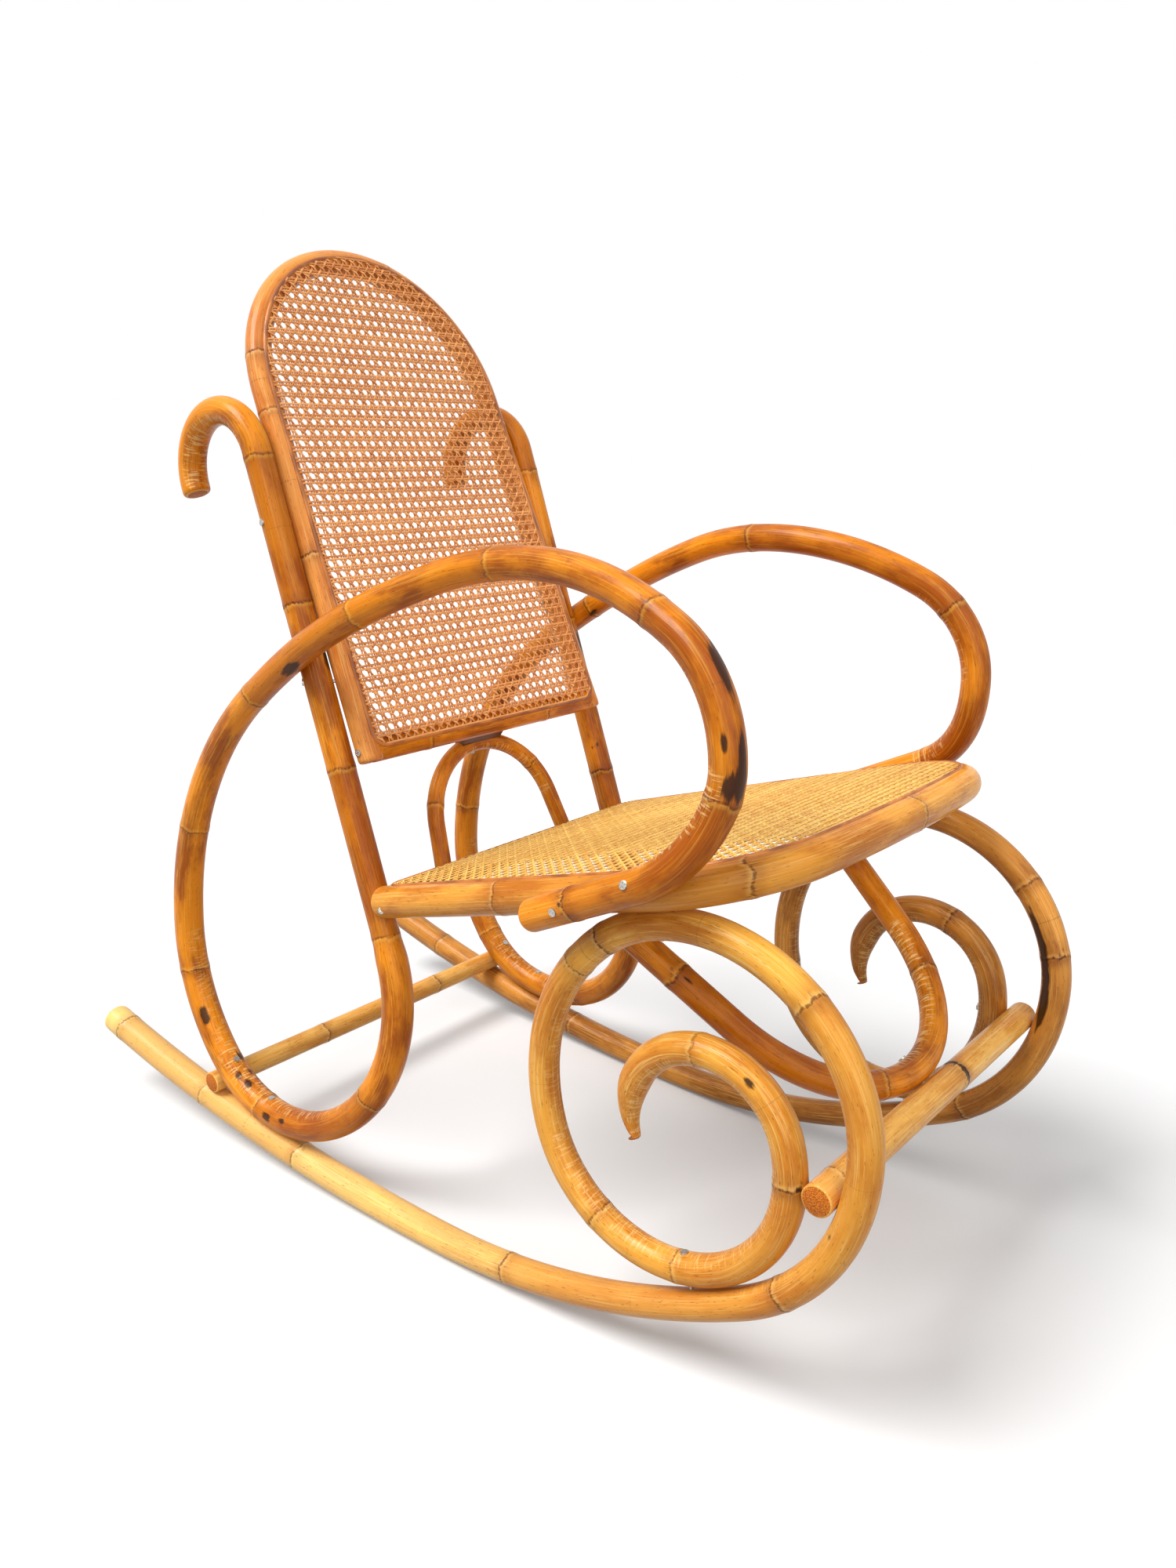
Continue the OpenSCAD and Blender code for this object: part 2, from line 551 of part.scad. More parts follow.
// A joint screw goes from the far side of one pole, through its axis, to the next pole's axis
module joint_screw(from, to, rad, clear = 0) {
    u = (to - from) / norm(to - from);
    screw(from - u * (rad - head_h / 2), u, 2 * rad + screw_grip - head_h / 2 + clear,
        shank_d + 2 * clear, head_d + 2 * clear);
}
function at(x, p) = [x, p[0], p[1]];
tail_screw_at = [for (u = [tail_screw_rear, tail_screw_rear - tail_screw_pitch]) tail_mid + u * tail_dir];
module tail_screws(clear = 0) {
    in_chair() for (p = tail_screw_at) {
        q = [p[0], seat_z(p[0])];
        joint_screw(at(tail_x(p[0]), p), at(rail_x(slope_y(q[0])), q), arm_rad, clear);
    }
}
// Screws that slant from the outside of the side rails' ends into the uprights
rail_screw_slant = 45;
rail_screw_dir = [-sin(rail_screw_slant), cos(rail_screw_slant), 0];
rail_screw_sunk = seat_rad / sin(rail_screw_slant + leg_tilt) - head_h / 2;
module rail_end_screw(clear = 0) {
    in_seat() screw([rail_x(seat_end_y), seat_end_y, -rail_screw_drop] - rail_screw_sunk * rail_screw_dir,
        rail_screw_dir, rail_screw_sunk + screw_grip + clear, shank_d + 2 * clear, head_d + 2 * clear);
}
back_screw_zs = [for (side = [-1, 1])
    (back_origin[1] + upright_top[1]) / 2 + side * back_screw_pitch / 2 * cos(upright_lean)];
module upright_screws(clear = 0) {
    in_chair() for (z = back_screw_zs) {
        y = (z - back_origin[1]) / cos(back_recline);
        joint_screw(at(rear_half, upright_at(z)),
            [back_x(y), back_origin[0] + y * sin(back_recline), z], arm_rad, clear);
    }
}
module corner_screw(clear = 0) {
    in_back() joint_screw([back_bottom_half, 0, 0], [0, 0, 0], back_rad, clear);
}
toe_seat_dir = (inner[0] - toe[0]) / norm(inner[0] - toe[0]);
toe_upper = inner[0] + inner_r * toe_seat_dir;
toe_lower = toe[0] + toe_r * toe_seat_dir;
module toe_screw(clear = 0) {
    in_chair() joint_screw(at(runner_x(toe_upper[0]), toe_upper), at(runner_x(toe_lower[0]), toe_lower),
        runner_rad, clear);
}
loop_down = along(loop_turn - 90);
loop_bottom = loop_centre + loop_r * loop_down;
runner_under = rocker[0] + rocker_r * loop_down;
module loop_screw(clear = 0) {
    in_chair() joint_screw(at(runner_x(loop_offset), loop_bottom),
        at(runner_x(loop_offset), runner_under), loop_rad, clear);
}
seat_normal = [sin(seat_tilt), cos(seat_tilt)];
ring_top = ring_centre + ring_front_r * seat_normal;
rail_over = ring_top + sqrt(pole_sum ^ 2 - side_step ^ 2) * seat_normal;
module ring_top_screw(clear = 0) {
    in_chair() joint_screw(at(runner_x(ring_top[0]), ring_top),
        at(rail_x(slope_y(rail_over[0])), rail_over),
        runner_rad, clear);
}
module brace_side_screw(clear = 0) {
    in_chair() joint_screw(at(brace_half, ring_meet), at(runner_x(ring_meet[0]), ring_meet),
        brace_rad, clear);
}
front_end_x = runner_x(front_seat[0]);
inner_front = inner[0] + inner_r * (front_seat - inner[0]) / norm(front_seat - inner[0]);
module front_screw(clear = 0) {
    in_chair() joint_screw(at(front_end_x, inner_front), at(front_end_x, front_seat), runner_rad, clear);
}
heel_rear = heel[0] + heel_r * (rear_seat - heel[0]) / norm(rear_seat - heel[0]);
module rear_screw(clear = 0) {
    in_chair() joint_screw(at(riser_span / 2, heel_rear), at(riser_span / 2, rear_seat), loop_rad, clear);
}
module brace_front_screw(clear = 0) {
    in_chair() joint_screw(at(0, brace_origin), at(0, front_seat), brace_rad, clear);
}
module arch_foot_screw(clear = 0) {
    in_arch() joint_screw([arch_x(0), 0, 0], [arch_x(0), 0, 1], arch_rad, clear);
}
module spacer_screw(clear = 0) {
    in_chair() joint_screw(at(0, arch_top), at(0, back_origin), arch_rad + spacer_height / 2, clear);
}

// Runner pole
runner_points = [for (p = runner_path) [runner_x(p[0]), p[0], p[1]]];
runner_radii = [for (s = runner_lengths) eased(runner_rads, s)];
module runner() {
    difference() {
        in_chair() pole(runner_points, runner_radii);
        toe_screw(joint_gap);
        loop_screw(joint_gap);
        ring_top_screw(joint_gap);
        brace_side_screw(joint_gap);
        front_screw(joint_gap);
    }
}
module right_runner() {
    color("#d9a441") mirror([1, 0, 0]) runner();
}
module left_runner() {
    color("#c98a35") runner();
}

// Arm pole
function arm_x(i) = arm_lengths[i] < tail_s ? eased(arm_xs, arm_lengths[i]) : tail_x(arm_path[i][0]);
arm_points = [for (i = [0 : len(arm_path) - 1]) [arm_x(i), arm_path[i][0], arm_path[i][1]]];
arm_radii = [for (s = arm_lengths) eased(arm_rads, s)];
module arm_pole() {
    difference() {
        in_chair() pole(arm_points, arm_radii);
        tail_screws(joint_gap);
        rail_end_screw(joint_gap);
        upright_screws(joint_gap);
        loop_screw(joint_gap);
        rear_screw(joint_gap);
    }
}
module right_arm_pole() {
    color("#d98a2b") mirror([1, 0, 0]) arm_pole();
}
module left_arm_pole() {
    color("#cf7f27") arm_pole();
}

// A groove for the spline: a band round the poles' tops, open upward
module groove(outer, inner, top) {
    translate([0, 0, top - groove_depth]) linear_extrude(groove_depth * 2) difference() {
        polygon(outer);
        polygon(inner);
    }
}

// Seat
module seat_groove() {
    in_seat() groove(hoop(seat_half(-groove_half)), hoop(seat_half(groove_half)), seat_rad);
}
module upright_space() {
    both_sides() in_chair() rod(at(rear_half, upright_top), at(rear_half, upright_foot),
        arm_d + 2 * joint_gap);
}
module seat_frame() {
    color("#e0a63c") difference() {
        in_seat() flat_pole(seat_path, seat_pole_d);
        upright_space();
        seat_groove();
        both_sides() {
            tail_screws(joint_gap);
            rail_end_screw(joint_gap);
            ring_top_screw(joint_gap);
        }
    }
}
module seat_rear_rail() {
    color("#d0902f") difference() {
        in_seat() rod([-rear_half, rear_rail_y, rear_rail_lift], [rear_half, rear_rail_y, rear_rail_lift],
            rear_rail_d);
        in_seat() both_sides() rod([rail_x(0), 0, 0], [rail_x(rear_rail_y * 3), rear_rail_y * 3, 0],
            seat_pole_d + 2 * joint_gap);
        seat_groove();
        both_sides() arch_foot_screw(joint_gap);
    }
}
module seat_cane() {
    color("#e8c468") in_seat() translate([0, 0, seat_rad + joint_gap / 2])
        linear_extrude(cane_t) polygon(hoop(seat_half(cane_inset)));
}
module seat_spline() {
    color("#c98f3a") in_seat() flat_cord(hoop(seat_half(0)), seat_rad + spline_lift, spline_d);
}

// Back
module back_groove() {
    in_back() groove(hoop(back_half(-groove_half)), hoop(back_half(groove_half)), back_rad);
}
module back_hoop() {
    color("#cf7a22") difference() {
        in_back() flat_pole(back_path, back_pole_d);
        back_groove();
        both_sides() {
            upright_screws(joint_gap);
            corner_screw(joint_gap);
        }
    }
}
module back_bottom_rail() {
    color("#c8741f") difference() {
        in_back() rod([-back_bottom_half, 0, 0], [back_bottom_half, 0, 0], back_pole_d);
        in_back() both_sides() rod([back_x(-back_pole_d), -back_pole_d, 0],
            [back_x(back_pole_d), back_pole_d, 0],
            back_pole_d + 2 * joint_gap);
        back_groove();
        both_sides() corner_screw(joint_gap);
        spacer_screw(joint_gap);
    }
}
module back_cane() {
    color("#dba55c") in_back() translate([0, 0, back_rad + joint_gap / 2])
        linear_extrude(cane_t) polygon(hoop(back_half(cane_inset)));
}
module back_spline() {
    color("#b5651d") in_back() flat_cord(hoop(back_half(0)), back_rad + spline_lift, spline_d);
}

// Stretchers, brace and arch
module front_stretcher() {
    half = front_stretcher_length / 2;
    color("#dfa545") difference() {
        in_chair() rod(at(-half, front_seat), at(half, front_seat), front_stretcher_d);
        both_sides() front_screw(joint_gap);
        brace_front_screw(joint_gap);
    }
}
module rear_stretcher() {
    half = rear_stretcher_length / 2;
    color("#cf9440") difference() {
        in_chair() rod(at(-half, rear_seat), at(half, rear_seat), rear_stretcher_d);
        both_sides() rear_screw(joint_gap);
    }
}
module brace_hoop() {
    color("#c9762a") difference() {
        in_brace() flat_pole(brace_path, brace_d);
        both_sides() brace_side_screw(joint_gap);
        brace_front_screw(joint_gap);
    }
}
module rear_arch() {
    color("#d28a3c") difference() {
        in_arch() flat_pole(arch_path, arch_d);
        both_sides() arch_foot_screw(joint_gap);
        spacer_screw(joint_gap);
    }
}
module arch_spacer() {
    color("#8a4b1c") difference() {
        in_chair() translate(at(0, arch_top)) rotate([-spacer_lean, 0, 0])
            translate([-spacer_length / 2, -spacer_width / 2, 0])
            cube([spacer_length, spacer_width, axes_apart]);
        in_arch() flat_pole(arch_path, arch_d + 2 * joint_gap);
        in_back() rod([-spacer_length, 0, 0], [spacer_length, 0, 0], back_pole_d + 2 * joint_gap);
        spacer_screw(joint_gap);
    }
}

// Screws
module arm_screws() {
    color("silver") both_sides() tail_screws();
}
module seat_screws() {
    color("silver") both_sides() rail_end_screw();
}
module back_screws() {
    color("silver") both_sides() {
        upright_screws();
        corner_screw();
    }
}
module runner_screws() {
    color("silver") both_sides() {
        toe_screw();
        loop_screw();
    }
}
module ring_screws() {
    color("silver") both_sides() {
        ring_top_screw();
        brace_side_screw();
    }
}
module stretcher_screws() {
    color("silver") {
        both_sides() {
            front_screw();
            rear_screw();
        }
        brace_front_screw();
    }
}
module arch_screws() {
    color("silver") {
        both_sides() arch_foot_screw();
        spacer_screw();
    }
}

right_runner();
left_runner();
right_arm_pole();
left_arm_pole();
seat_frame();
seat_rear_rail();
seat_cane();
seat_spline();
back_hoop();
back_bottom_rail();
back_cane();
back_spline();
front_stretcher();
rear_stretcher();
brace_hoop();
rear_arch();
arch_spacer();
arm_screws();
seat_screws();
back_screws();
runner_screws();
ring_screws();
stretcher_screws();
arch_screws();
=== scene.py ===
# %% [markdown]
# This lesson dresses a bent-bamboo rocking chair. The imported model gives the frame: its
# solids are sixteen-sided and plain, so every pole is drawn again here as a fine round
# surface on the same path, with its bamboo joints, burns, grain and lacquer, and the two
# cane webs are woven strand by strand. All lengths are in millimetres until a mesh is
# made, and then in metres.

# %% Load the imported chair
from math import acos, asin, atan, atan2, ceil, cos, degrees, hypot, pi, radians, sin, sqrt, tan

import bpy
import numpy as np
from mathutils import Matrix, Vector


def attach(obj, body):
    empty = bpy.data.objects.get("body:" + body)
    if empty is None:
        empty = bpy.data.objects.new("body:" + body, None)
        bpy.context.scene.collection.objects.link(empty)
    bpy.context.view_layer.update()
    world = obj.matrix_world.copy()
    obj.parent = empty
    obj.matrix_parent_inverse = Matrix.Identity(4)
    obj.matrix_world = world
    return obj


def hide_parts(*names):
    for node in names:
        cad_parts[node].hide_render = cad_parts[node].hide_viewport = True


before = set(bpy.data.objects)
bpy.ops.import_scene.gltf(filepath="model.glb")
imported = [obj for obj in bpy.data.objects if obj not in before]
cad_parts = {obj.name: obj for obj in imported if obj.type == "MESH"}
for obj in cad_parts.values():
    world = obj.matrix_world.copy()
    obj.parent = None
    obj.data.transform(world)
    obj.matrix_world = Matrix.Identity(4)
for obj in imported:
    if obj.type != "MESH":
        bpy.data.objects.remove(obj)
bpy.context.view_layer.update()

MM = 0.001

# %% [markdown]
# The poles are chains of round bends, so a pole in the side view is a chain of arcs.
# A heading is an angle in that view: 0 points to the rear and 90 points up. An arc holds
# its centre, its radius, its first and last heading and its turn, 1 for a left bend.
# A chain of arcs was chosen over a free curve because such poles are bent over round
# formers. The seat, the back, the hoop and the arch each lie in a plane that rises along
# a heading: x runs across the chair, y up the slope and the lift square to both.

# %% Arcs, chains and planes
def direction(h):
    """Unit vectors at headings h in degrees: cosine to the rear, sine up."""
    h = np.radians(h)
    return np.stack([np.cos(h), np.sin(h)], -1)


def across(h, turn):
    """Unit vectors from an arc's centre to its point at heading h."""
    return turn * direction(np.asarray(h) - 90)


class Arc:
    """A bend: centre plus radius times the vector across the heading."""

    def __init__(self, centre, radius, first, last, turn):
        self.centre, self.radius, self.turn = np.array(centre, float), radius, turn
        self.first, self.last = first, last
        self.length = radius * radians(abs(last - first))

    def at(self, share):
        """Points at shares 0 to 1 of the arc."""
        h = self.first + (self.last - self.first) * np.asarray(share)
        return self.centre + self.radius * across(h, self.turn)

    def then(self, radius, angle):
        """The next bend, tangent at this one's end and turning the same way."""
        centre = self.centre + (self.radius - radius) * across(self.last, self.turn)
        return Arc(centre, radius, self.last, self.last + self.turn * angle, self.turn)


class Line:
    """A straight stretch from p to q."""

    def __init__(self, p, q):
        self.p, self.q = np.array(p, float), np.array(q, float)
        self.length = float(np.linalg.norm(self.q - self.p))

    def at(self, share):
        return self.p + (self.q - self.p) * np.asarray(share)[..., None]


def chain(parts, step):
    """Points every step or so along parts that join end to end."""
    rows = []
    for part in parts:
        n = max(2, ceil(part.length / step))
        rows.append(part.at(np.arange(n) / n))
    rows.append(parts[-1].at(np.array([1.0])))
    return np.concatenate(rows)


def lengths(path):
    """Length from the start of a path to each of its points."""
    return np.concatenate([[0], np.cumsum(np.linalg.norm(np.diff(path, axis=0), axis=1))])


def eased(stations, s):
    """A value that eases from one station (length, value) to the next by 3f2 - 2f3."""
    at, value = np.array(stations, float).T
    i = np.clip(np.searchsorted(at, s, side="right") - 1, 0, len(at) - 2)
    f = np.clip((s - at[i]) / (at[i + 1] - at[i]), 0, 1)
    return value[i] + (value[i + 1] - value[i]) * f * f * (3 - 2 * f)


def unit(v):
    return v / np.linalg.norm(v, axis=-1, keepdims=True)


def heading_of(v):
    return degrees(atan2(v[1], v[0]))


def run_to_circle(start, along, centre, radius, side):
    """Length from start along a unit vector to a circle: side -1 for the near crossing, else 1."""
    v = start - centre
    return -(v @ along) + side * sqrt((v @ along) ** 2 - v @ v + radius ** 2)


class Plane:
    """Places points (x, y) and their lift, from an origin in the side view."""

    def __init__(self, origin, heading):
        self.origin, self.slope, self.normal = origin, direction(heading), direction(heading + 90)
        self.up = np.array([0, *self.normal])

    def place(self, xy, lift=0.0):
        xy = np.asarray(xy, float)
        lift = np.broadcast_to(lift, xy.shape[:-1])[..., None]
        side = self.origin + xy[..., 1:2] * self.slope + lift * self.normal
        return np.concatenate([xy[..., :1], side], -1)


print("a quarter bend:", Arc((0, 0), 10, 0, 90, 1).at(np.array([0, 0.5, 1])).round(1).tolist())

# %% [markdown]
# The runner pole starts at its rear tip on the floor. It sweeps forward, rises round the
# toe, goes over the big ring that carries the seat, comes down inside the toe as the
# inner ring, and ends in a small scroll. The inner ring's radius follows from resting on
# the toe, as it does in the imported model.

# %% The runner's path
GAP = 0.3
runner_rad, tip_rad, arm_rad, loop_rad = 15.5, 19.0, 16.0, 18.0
seat_rad, rear_rail_rad, back_rad = 18.0, 13.5, 14.5
front_rad, rear_rad, brace_rad, arch_rad = 15.0, 13.5, 14.5, 10.0

rocker_r, rocker_tail, rocker_lead = 2400, 628, 14
sweep_r, sweep_angle, toe_r = 785, 28.7, 215
ring_front_r, ring_front_angle = 165, 133
ring_back_r, ring_back_angle = 202, 64
inner_angle, scroll_r, scroll_angle, scroll_taper, tip_share = 178, 84, 186, 65, 0.45
ring_span, runner_splay = 446, 2.3
slim_length = rocker_tail + rocker_lead + sweep_r * radians(sweep_angle)
floor_rad = eased([(0, tip_rad), (slim_length, runner_rad)], rocker_tail)
rocker = Arc((0, rocker_r + floor_rad), rocker_r, 180 + degrees(rocker_tail / rocker_r),
             180 - degrees(rocker_lead / rocker_r), -1)
sweep = rocker.then(sweep_r, sweep_angle)
toe = sweep.then(toe_r, sweep.last - 90)
ring_front = toe.then(ring_front_r, ring_front_angle)
ring_back = ring_front.then(ring_back_r, ring_back_angle)
room = toe_r - 2 * runner_rad - GAP
offset = ring_back.at(1) - toe.centre
inner_r = (room ** 2 - offset @ offset) / (2 * (room - offset @ across(ring_back.last, -1)))
inner = ring_back.then(inner_r, inner_angle)
scroll = inner.then(scroll_r, scroll_angle)
runner_parts = [rocker, sweep, toe, ring_front, ring_back, inner, scroll]
runner_length = sum(part.length for part in runner_parts)
runner_rads = [(0, tip_rad), (slim_length, runner_rad),
               (runner_length - scroll_taper, runner_rad), (runner_length, runner_rad * tip_share)]


def runner_x(y):
    """Side position of the runner: the two runners open a little to the rear."""
    return ring_span / 2 + tan(radians(runner_splay)) * (y - ring_front.centre[0])


print("inner ring radius", round(float(inner_r), 2), "runner length", round(runner_length))

# %% [markdown]
# The arm pole starts at the hook beside the headrest. It runs down beside the back as the
# upright, round the bottom loop that rests on the runner, up behind the back, over the
# upright as the armrest, round the front curl, and ends as a tail along the seat's side.

# %% The arm pole up to the armrest
loop_offset, loop_r, loop_rise = 261, 186, 16
upright_lean, upright_length, hook_r, hook_angle = 18.8, 580, 65, 186
heel_r, heel_angle, riser_r, riser_angle = 137, 33, 229, 44
shoulder_r, shoulder_angle, armrest_r, armrest_angle = 425, 50, 1018, 18
loop_t = asin(loop_offset / (rocker_r - loop_r))
rad_at_loop = eased(runner_rads, rocker_tail - loop_t * rocker_r)
loop_room = rocker_r - rad_at_loop - loop_rad - GAP - loop_r
loop_centre = np.array([loop_offset, rocker.centre[1] - sqrt(loop_room ** 2 - loop_offset ** 2)])
upright_heading = 270 - upright_lean
upright_dir = direction(upright_heading)
loop = Arc(loop_centre, loop_r, upright_heading, 360 + loop_rise, 1)
upright_foot = loop.at(0)
upright_top = upright_foot - upright_length * upright_dir
hook = Arc(upright_top - hook_r * across(upright_heading, 1), hook_r,
           upright_heading - hook_angle, upright_heading, 1)
heel = loop.then(heel_r, heel_angle)
riser = heel.then(riser_r, riser_angle)
shoulder = riser.then(shoulder_r, shoulder_angle)
armrest = shoulder.then(armrest_r, armrest_angle)


def upright_at(z):
    """Point of the upright's axis at height z."""
    return upright_foot + (z - upright_foot[1]) * np.array([tan(radians(upright_lean)), 1])


print("upright from", upright_top.round(1), "to", upright_foot.round(1))

# %% [markdown]
# The seat starts at the uprights and comes down over the two big rings. The frame widens
# to the front, so where it meets a ring it stands a little beside the ring's own line,
# and its tilt follows from that. The tail of the arm pole lies along it.

# %% The seat's plane
seat_rear_height, rear_half, front_half, seat_depth = 380, 210, 244, 540
seat_origin = upright_at(seat_rear_height)
leg_t = atan((front_half - rear_half) / seat_depth)
leg_tilt = degrees(leg_t)
to_seat = seat_origin - ring_front.centre


def tilt_over_ring(lift):
    """Slope of a line that starts at the seat's rear and clears the ring's axis by lift."""
    return 90 - heading_of(to_seat) - degrees(acos((ring_front_r + lift) / np.linalg.norm(to_seat)))


def rail_x(y):
    """Side rail in the seat's plane: the frame widens to the front, where y is negative."""
    return rear_half - y * tan(leg_t)


pole_sum = seat_rad + runner_rad + GAP
first_t = radians(tilt_over_ring(pole_sum))
rest_y = ring_front.centre[0] + ring_front_r * sin(first_t)
side_step = rail_x((rest_y - seat_origin[0]) / cos(first_t)) - runner_x(rest_y)
seat_tilt = tilt_over_ring(sqrt(pole_sum ** 2 - side_step ** 2))
seat_t = radians(seat_tilt)
seat_plane = Plane(seat_origin, -seat_tilt)


def seat_z(y):
    return seat_origin[1] - (y - seat_origin[0]) * tan(seat_t)


def tail_x(y):
    """The tail lies against the outside of the side rail."""
    return rail_x((y - seat_origin[0]) / cos(seat_t)) + (seat_rad + arm_rad + GAP) / cos(leg_t)


print("seat tilt", round(seat_tilt, 2))

# %% [markdown]
# The front curl joins the armrest to the tail, so its centre is where a bend of its own
# radius touches both. The pole also moves sideways on its way, from the upright out over
# the runner, back past the outside of the upright and on to the tail.

# %% The front curl and the pole's way sideways
wrist_r, curl_r, tail_slope, tail_reach, tail_end = 371, 118, 25.4, 107, 62
riser_x, armrest_x, curl_x, cross_ease = 247, 210, 243, 32
tail_mid_y = ring_front.centre[0] + tail_reach
tail_mid = np.array([tail_mid_y, seat_z(tail_mid_y)])
tail_dir = direction(-tail_slope)
curl_base = tail_mid - curl_r * across(-tail_slope, 1)
wrist_centre = armrest.centre + (armrest_r - wrist_r) * across(armrest.last, 1)
curl_centre = curl_base + tail_dir * run_to_circle(
    curl_base, tail_dir, wrist_centre, wrist_r - curl_r, -1)
curl_heading = 450 + heading_of(curl_centre - wrist_centre)
wrist = Arc(wrist_centre, wrist_r, armrest.last, curl_heading, 1)
curl = Arc(curl_centre, curl_r, curl_heading, 720 - tail_slope, 1)
arm_parts = [hook, Line(upright_top, upright_foot), loop, heel, riser, shoulder, armrest,
             wrist, curl, Line(curl.at(1), tail_mid + tail_end * tail_dir)]

foot_s = hook.length + upright_length
seat_s = hook.length + np.linalg.norm(seat_origin - upright_top) + 2 * seat_rad
loop_s = foot_s + (radians(360 - upright_heading) + loop_t) * loop_r
rear_s = foot_s + loop.length + heel.length + riser.length
armrest_s = rear_s + shoulder.length + armrest.length
top_s = armrest_s + radians(540 - wrist.first) * wrist_r
front_s = armrest_s + wrist.length + radians(630 - curl.first) * curl_r
tail_s = armrest_s + wrist.length + curl.length
cross_point = upright_top + upright_dir * run_to_circle(
    upright_top, upright_dir, shoulder.centre, shoulder_r, -1)
cross_heading = 450 + heading_of(cross_point - shoulder.centre)
cross_s = rear_s + radians(cross_heading - shoulder.first) * shoulder_r
cross_x = rear_half + 2 * arm_rad + GAP
arm_xs = [(0, rear_half), (seat_s, rear_half), (loop_s, runner_x(loop_offset)),
          (rear_s, riser_x), (cross_s - cross_ease, cross_x), (cross_s + cross_ease, cross_x),
          (top_s, armrest_x), (front_s, curl_x), (tail_s, tail_x(curl.at(1)[0]))]
arm_rads = [(0, arm_rad), (seat_s, arm_rad), (foot_s, loop_rad), (rear_s, loop_rad),
            (cross_s - cross_ease, arm_rad), (tail_s, arm_rad)]
front_y = ring_front.centre[0] - ring_front_r - runner_rad
rear_y = rocker.at(0)[0] + tip_rad * sin(rocker_tail / rocker_r)
centre_y = (front_y + rear_y) / 2
print("arm pole crosses at", round(cross_s), "and its tail starts at", round(tail_s))

# %% [markdown]
# The stretchers, the hoop under the seat, the arch and the two woven frames follow from
# contact too: each one's place is worked out from the poles that it touches, as in the
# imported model, so the drawn pieces lie where the solids do.

# %% Places of the crosspieces and frames
def two_circles(c1, r1, c2, r2, side):
    """The point at r1 from c1 and r2 from c2, to one side of the line between them."""
    d = np.linalg.norm(c2 - c1)
    turn = degrees(acos((r1 ** 2 + d ** 2 - r2 ** 2) / (2 * r1 * d)))
    return c1 + r1 * direction(heading_of(c2 - c1) + side * turn)


front_seat = two_circles(inner.centre, inner_r + runner_rad + front_rad + GAP,
                         toe.centre, toe_r - runner_rad - front_rad - GAP, 1)
rear_guess = asin((heel.centre[0] + heel_r) / rocker_r)
rear_pole_rad = eased(runner_rads, rocker_tail - rear_guess * rocker_r)
rear_seat = two_circles(heel.centre, heel_r + loop_rad + rear_rad + GAP,
                        rocker.centre, rocker_r - rear_pole_rad - rear_rad - GAP, -1)

brace_lean, brace_r, brace_overrun = 53, 170, 14
brace_dir = direction(90 - brace_lean)
brace_plane = Plane(front_seat + (front_rad + brace_rad + GAP) * brace_dir, 90 - brace_lean)
ring_run = run_to_circle(brace_plane.origin, brace_dir, ring_back.centre, ring_back_r, 1)
brace_end_y = brace_plane.origin[0] + ring_run * brace_dir[0]
brace_half = runner_x(brace_end_y) - runner_rad - brace_rad - 2 * GAP
to_foot = (brace_half, ring_run - brace_r)
brace_splay = degrees(acos(brace_r / hypot(*to_foot))) - heading_of(to_foot)

back_bottom_height, back_length, back_lead = 545, 585, 27
back_origin = upright_at(back_bottom_height) - np.array([back_lead, 0])
back_recline = 90 - heading_of(upright_top - back_origin)
back_plane = Plane(back_origin, 90 - back_recline)
back_sum = back_rad + arm_rad + GAP
slope_lead = back_lead * cos(radians(back_recline))
touch = asin(slope_lead / 2 / back_sum)
step_low = (back_sum - slope_lead * sin(touch)) / cos(touch)
step_high = back_sum / cos(touch)
back_run = (upright_top[1] - back_origin[1]) / cos(radians(back_recline))
back_bottom_half = rear_half - step_low
back_t = atan((step_high - step_low) / back_run)
back_r = (back_bottom_half - back_length * tan(back_t)) * cos(back_t) / (1 - sin(back_t))

rear_rail_y, rail_lift = -27, seat_rad - rear_rail_rad
arch_lean, arch_r, arch_splay, arch_foot, spacer_height = 21, 100, 9, 12, 9
rear_rail_axis = seat_origin + rear_rail_y * seat_plane.slope + rail_lift * seat_plane.normal
arch_base = rear_rail_axis + (rear_rail_rad + arch_rad + GAP) * direction(-arch_lean)
arch_plane = Plane(arch_base, 90 - arch_lean)
arch_height = run_to_circle(arch_base, arch_plane.slope, back_origin,
                            back_rad + arch_rad + spacer_height + 2 * GAP, -1)
print("front stretcher", front_seat.round(1), "rear stretcher", rear_seat.round(1),
      "arch", round(arch_height, 1), "back radius", round(back_r, 1))

# %% [markdown]
# Each frame is its own mirror image, so only its right half is drawn. It is a chain of
# arcs again: a leg or a corner first, then the bends up to the middle line. The reeds and
# the webs use the same bends, with a small corner of their own at the crosspiece.

# %% Outlines in the planes
PATH_STEP = 3


def round_part(centre, radius, first, last):
    """An arc about centre from angle first to angle last, in a plane."""
    turn = 1 if last > first else -1
    return Arc(centre, radius, first + 90 * turn, last + 90 * turn, turn)


def mirrored(half):
    """Adds the mirror image of a half path that ends on the middle line."""
    return np.concatenate([half, half[-2::-1] * [-1, 1]])


def legged(foot, *bends):
    """A frame's path: a straight leg from its foot, then bends to the middle."""
    return mirrored(chain([Line(foot, bends[0].at(0)), *bends], PATH_STEP))


def outlined(corner, bends, step):
    """A web's outline: its rear corner, a straight side, then bends to the middle."""
    return mirrored(chain([corner, Line(corner.at(1), bends[0].at(0)), *bends], step))


